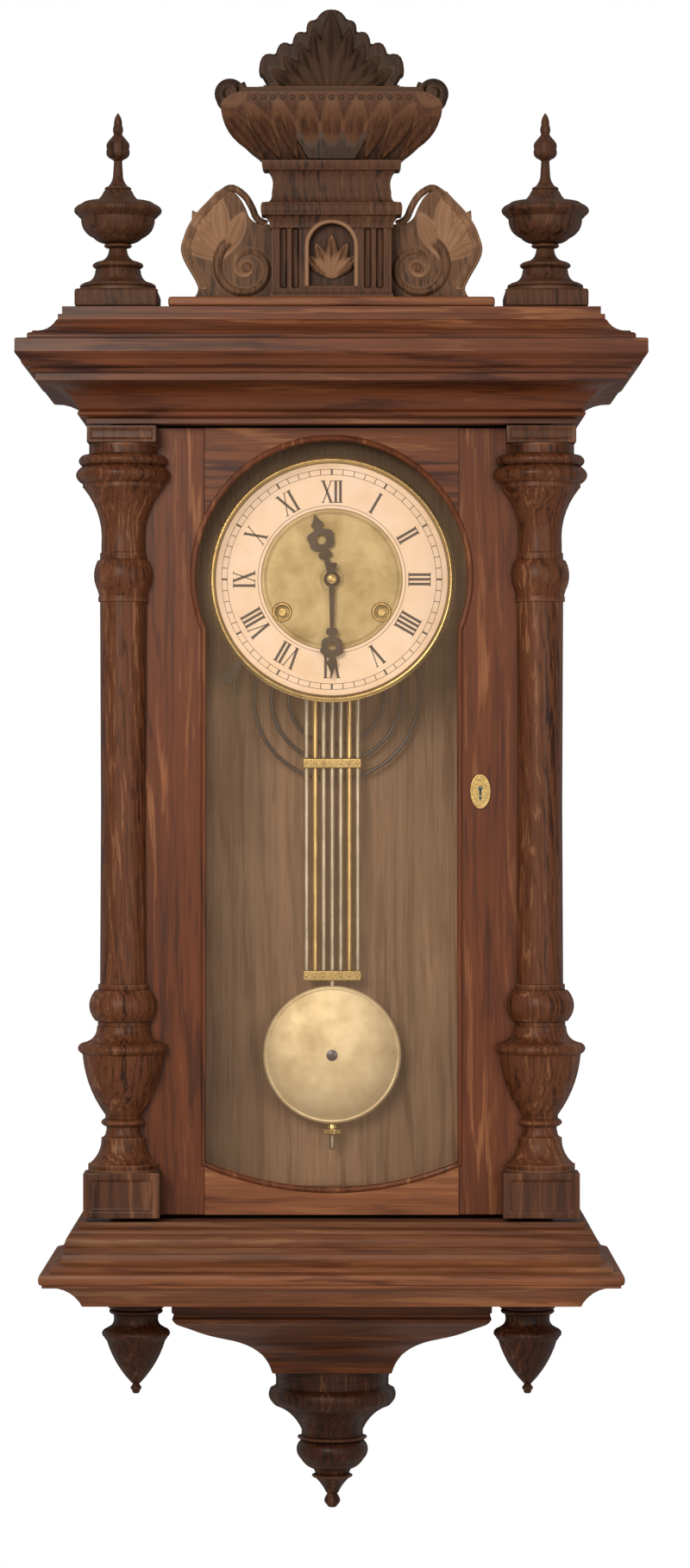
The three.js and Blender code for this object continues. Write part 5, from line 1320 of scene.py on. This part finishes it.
# Strokes as (foot, head, weight), in shares of the letter's width from its middle
letter_strokes = {
    "I": [(0, 0, "thick")],
    "V": [(0, -0.33, "thick"), (0, 0.33, "thin")],
    "X": [(0.33, -0.33, "thick"), (-0.33, 0.33, "thin")],
}
track_low, track_high = 80 * mm, 84 * mm
track_line = 0.35 * mm
hour_mark_half, minute_mark_half = 0.75 * mm, 0.28 * mm
track_radii = [79.7 * mm, 84 * mm, 56.3 * mm]


def painted(foot_x, head_x, half, low, high, angle):
    """A painted stroke between two distances from the dial's centre, turned to its hour"""
    corners = [(foot_x - half, low), (foot_x + half, low), (head_x + half, high), (head_x - half, high)]
    outline = []
    for across, away in corners:
        x = across * math.cos(angle) + away * math.sin(angle)
        z = away * math.cos(angle) - across * math.sin(angle)
        outline.append((x, dial_z + z))
    return board("stroke", outline, paint_front, paint_thickness)


def painted_numeral(text, angle):
    total = sum(letter_widths[letter] for letter in text)
    squeeze = min(1, numeral_room / total)
    across = -total * squeeze / 2
    marks = []
    for letter in text:
        width = letter_widths[letter] * squeeze
        middle = across + width / 2
        for foot, head, weight in letter_strokes[letter]:
            half = stroke_widths[weight] * squeeze / 2
            reach = half + serif_reach * squeeze
            foot_x, head_x = middle + foot * width, middle + head * width
            marks.append(painted(foot_x, head_x, half, numeral_low, numeral_high, angle))
            for end_x, low in ((foot_x, numeral_low), (head_x, numeral_high - serif_height)):
                marks.append(painted(end_x, end_x, reach, low, low + serif_height, angle))
        across += width
    return marks


def dial_paint():
    marks = []
    for hour, text in enumerate(numerals):
        marks += painted_numeral(text, full_turn * hour / 12)
    for minute in range(60):
        half = hour_mark_half if minute % 5 == 0 else minute_mark_half
        marks.append(painted(0, 0, half, track_low, track_high, full_turn * minute / 60))
    rear = paint_front - paint_thickness
    for radius in track_radii:
        outer = radius + track_line
        section = [
            (radius, paint_front), (radius, rear), (outer, rear), (outer, paint_front), (radius, paint_front),
        ]
        marks.append(faced("track", section, 0, dial_z, 128))
    done(joined("dial_numerals", marks), "ink", "case")


# Hands, in shares of their length: half an outline that points up
hour_outline = [
    (0.045, 0), (0.04, 0.33), (0.1, 0.36, 0.3), (0.05, 0.42, 0.3), (0.065, 0.45), (0.18, 0.59, 0.3),
    (0.13, 0.73, 0.3), (0.045, 0.79, -0.12), (0.09, 0.84, 0.3), (0, 1, -0.06),
]
minute_outline = [
    (0.04, -0.16), (0.05, -0.13, 0.3), (0.03, -0.08, -0.1), (0.03, 0), (0.018, 0.48), (0.055, 0.51, 0.3),
    (0.025, 0.55, 0.3), (0.03, 0.57), (0.1, 0.66, 0.3), (0.07, 0.75, 0.3), (0.025, 0.79, -0.12),
    (0.05, 0.83, 0.3), (0, 1, -0.06),
]
washer_rings = [(1.6, -0.05), (3.4, -0.05), (3.6, 0.5), (2.6, 1.0), (1.6, 1.2), (1.6, -0.05)]


def clock_hand(node_name, stations, length, eye_up, eye_radius, boss_radius, bore, turn):
    """A pierced blade on a boss, turned to the time it shows"""
    low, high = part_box(node_name)
    name = f"{node_name}_blade"
    half = curved(stations, length, length, steps=5)
    blade_share = 0.75
    blade = board(name, both_sides(half), high.y, (high.y - low.y) * blade_share)
    cut(blade, drill(bore, 0, 0, low.y, high.y), drill(eye_radius, 0, eye_up * length, low.y, high.y))
    soften(blade, width=0.3 * mm)
    chamfer = 0.4 * mm
    ring = [
        (bore, high.y), (boss_radius, high.y), (boss_radius, low.y + chamfer), (boss_radius - chamfer, low.y),
        (bore, low.y), (bore, high.y),
    ]
    piece = joined(name, [blade, faced("boss", ring, 0, 0, 32)])
    piece.rotation_euler = (0, turn, 0)
    piece.location = (0, 0, dial_z)
    done(settle(piece), "blued", body_of[node_name], [node_name])


def hands():
    half_past_eleven = -full_turn / 24
    clock_hand(
        "hour_hand", hour_outline, length=52 * mm, eye_up=0.6, eye_radius=3.6 * mm, boss_radius=6 * mm,
        bore=3.5 * mm, turn=half_past_eleven,
    )
    clock_hand(
        "minute_hand", minute_outline, length=78 * mm, eye_up=0.66, eye_radius=3 * mm, boss_radius=5 * mm,
        bore=1.8 * mm, turn=half_turn,
    )
    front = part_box("minute_hand")[0].y
    done(faced("hand_washer", raised(front, washer_rings), 0, dial_z, 28), "brass", "centre")
    pin_y, pin_start, pin_end = front - 1.55 * mm, -3.2 * mm, 3.4 * mm
    pin = [(0, pin_start), (0.35 * mm, pin_start), (0.55 * mm, pin_end), (0, pin_end)]
    done(crosswise("hand_pin", pin, pin_y, dial_z, 12), "brass", "centre")


# Pendulum
rod_spacing, rod_radius = 6.7 * mm, 2.3 * mm
grid_top, grid_bottom = -112 * mm, -444 * mm
bar_height = 8 * mm
rods_of_finish = {"rods_brass": (-2, 2), "rods_steel": (-3, -1, 1, 3)}


def grid_rods(y):
    stations = [(0, 0), (0.8, 0), (1, 0.002), (1, 0.998), (0.8, 1), (0, 1)]
    foot = grid_bottom - bar_height + 3 * mm
    head = grid_top - bar_height + 1 * mm
    profile = curved(stations, rod_radius, head - foot, foot)
    for finish, places in rods_of_finish.items():
        rods = [turned("rod", profile, place * rod_spacing, y, 20) for place in places]
        done(joined(f"grid_{finish}", rods), finish, "pendulum")


def centre_rod(low, high, y):
    top = high.z - low.z - 2 * mm
    outline = [
        (0, 0), (1.7 * mm, 0), (2.2 * mm, 1.2 * mm), (2.2 * mm, 14 * mm), (rod_radius, 15 * mm),
        (rod_radius, top), (0, top),
    ]
    piece = turned("pendulum_centre_rod", [(radius, low.z + up) for radius, up in outline], 0, y, 20)
    done(piece, "rods_steel", "pendulum", ["pendulum_rods"])


def grid_bars(low, high, y):
    bar_half, hook_half, hook_reach = 4.5 * mm, 3 * mm, 5 * mm
    pin_radius, pin_depth, pin_y = 1.4 * mm, 0.6 * mm, y - hook_reach
    pin = curved([(0, 0), (1, 1, 0.25), (0, 1)], pin_radius, pin_depth, pin_y, steps=4)
    parts = []
    for top in (grid_top, grid_bottom, (grid_top + grid_bottom) / 2):
        bar = block("bar", (low.x, y - bar_half, top - bar_height), (high.x, y + bar_half, top))
        parts.append(soften(bar, width=1.1 * mm, segments=3))
        for place in (-3, -2, -1, 1, 2, 3):
            parts.append(faced("bar_pin", pin, place * rod_spacing, top - bar_height / 2, 14))
    hook = block("hook", (-hook_half, pin_y, grid_top - mm), (hook_half, y + hook_reach, high.z))
    parts.append(soften(hook, width=0.8 * mm))
    done(joined("grid_bars", parts), "brass", "pendulum")


def pendulum():
    low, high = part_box("pendulum_rods")
    y = (low.y + high.y) / 2
    grid_rods(y)
    centre_rod(low, high, y)
    grid_bars(low, high, y)


# Bob, in shares of its radius and half its thickness
bob_face = [
    (0, 1), (0.12, 0.995), (0.3, 0.95), (0.5, 0.85), (0.68, 0.7), (0.82, 0.53), (0.91, 0.38), (0.94, 0.33),
]
bob_rim = [(0.945, 0.36), (0.965, 0.38), (0.985, 0.33), (1, 0.2), (1, 0)]
button_rings = [(0, 0.99), (2.6, 0.9), (3.4, 0.45), (4.4, 0.36), (4.6, -0.36), (0, -0.36)]


def bob():
    low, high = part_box("bob")
    centre = (low + high) / 2
    radius, half = high.x - centre.x, high.y - centre.y
    face = flowing(bob_face, 3) + bob_rim
    front = [(across * radius, centre.y - out * half) for across, out in face]
    rear = [(across * radius, centre.y + out * half) for across, out in reversed(face[:-1])]
    done(faced("bob_lens", front + rear, 0, centre.z, 96), "bob_brass", "bob", ["bob"], angle=30)
    button = raised(low.y + 0.3 * mm, button_rings)
    done(faced("bob_button", button, 0, centre.z, 28), "gong_steel", "bob")


nut_stations = [
    (0.36, 0), (0.8, 0), (0.86, 0.08), (0.93, 0.1), (0.93, 0.55), (0.86, 0.58), (0.6, 0.62), (0.55, 0.95),
    (0.5, 1), (0.36, 1), (0.36, 0),
]


def rating_nut():
    low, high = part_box("rating_nut")
    y = (low.y + high.y) / 2
    height = high.z - low.z
    parts = [turned("nut_body", curved(nut_stations, high.x, height, low.z), 0, y, 36)]
    ridge_radius, ridge_low, ridge_share = 0.42 * mm, low.z + height * 0.12, 0.4
    ridge_stations = [(0, 0), (1, 0.05), (1, 0.95), (0, 1)]
    ridge = curved(ridge_stations, ridge_radius, height * ridge_share, ridge_low)
    ridges, ridge_away = 36, high.x * 0.94
    for place in range(ridges):
        x, across = polar(0, 0, ridge_away, quarter_turn - full_turn * place / ridges)
        parts.append(turned("nut_ridge", ridge, x, y + across, 6))
    done(joined("thumb_nut", parts), "brass", "nut", ["rating_nut"], angle=40)


# Gong
boss_stations = [
    (0, 0), (0.5, 0), (0.62, 0.06, 0.3), (0.62, 0.16), (0.95, 0.17), (1, 0.22, 0.2), (1, 0.7),
    (0.93, 0.76), (0.93, 0.8), (1, 0.82), (1, 1), (0, 1),
]


def gong():
    """The wire winds out from its boss in one plane, as its solid does"""
    y, z = -20 * mm, -230 * mm
    inner, outer = 27 * mm, 75 * mm
    boss_radius, wire_width = 9 * mm, 3 * mm
    lead = boss_radius + seat_gap
    loops, steps_of_loop = 3.5, 64
    steps = int(loops * steps_of_loop)
    points = []
    for step in range(steps + 1):
        share = step / steps
        angle = quarter_turn - share * loops * full_turn
        point_x, point_z = polar(0, z, inner + share * (outer - inner), angle)
        points.append((point_x, y, point_z))
    lead_points = [(lead + place * (inner - lead) / 3, y, z) for place in range(3)]
    bend = 5
    wire = strand("gong_wire", lead_points + points[bend:], wire_width)
    done(wire, "gong_steel", "case", ["gong_coil"], angle=60)
    low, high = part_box("gong_post")
    boss = faced("gong_boss", curved(boss_stations, high.x, high.y - low.y, low.y), 0, z, 40)
    done(boss, "gong_steel", "case", ["gong_post"])


# Movement. The wheels keep their solids, which have true teeth
finish_of_solid = {
    "brass": [
        "going_barrel", "strike_barrel", "second_wheel", "centre_wheel", "third_wheel", "escape_wheel",
        "minute_wheel", "hour_wheel", "pin_wheel",
    ],
    "steel": ["pallets", "suspension_spring"],
    "dark_steel": ["fly", "hammer"],
    "glass": ["side_glass_left", "side_glass_right"],
}


def movement():
    plate_edge = 0.35 * mm
    softened_copy("rear_plate", "back_plate", "brass", plate_edge)
    softened_copy("fore_plate", "front_plate", "brass", plate_edge)
    softened_copy("cock", "pendulum_cock", "brass", plate_edge)
    softened_copy("bracket", "movement_bracket", "gong_steel", plate_edge)
    for finish, node_names in finish_of_solid.items():
        for node_name in node_names:
            materials = frame["nodes"][node_name].data.materials
            materials.clear()
            materials.append(finishes[finish])


pale_floor()
white_room()
for lamp_name, settings in lamps.items():
    lamp(lamp_name, *settings)
camera()
leaf_shape = leaf_model()
case_boards()
cornice()
base_moulding()
apron()
drop()
corner_pendants()
crest_plinth()
crest_panel(leaf_shape)
crest_pillar(leaf_shape)
crest_capital(leaf_shape)
finials()
door_frame()
columns()
hinges()
lock()
dial_ground()
chapter_ring()
dial_paint()
bezel()
hands()
pendulum()
bob()
rating_nut()
gong()
movement()
bpy.data.objects.remove(leaf_shape)
deselect()

bpy.context.scene.view_settings.view_transform = "Standard"
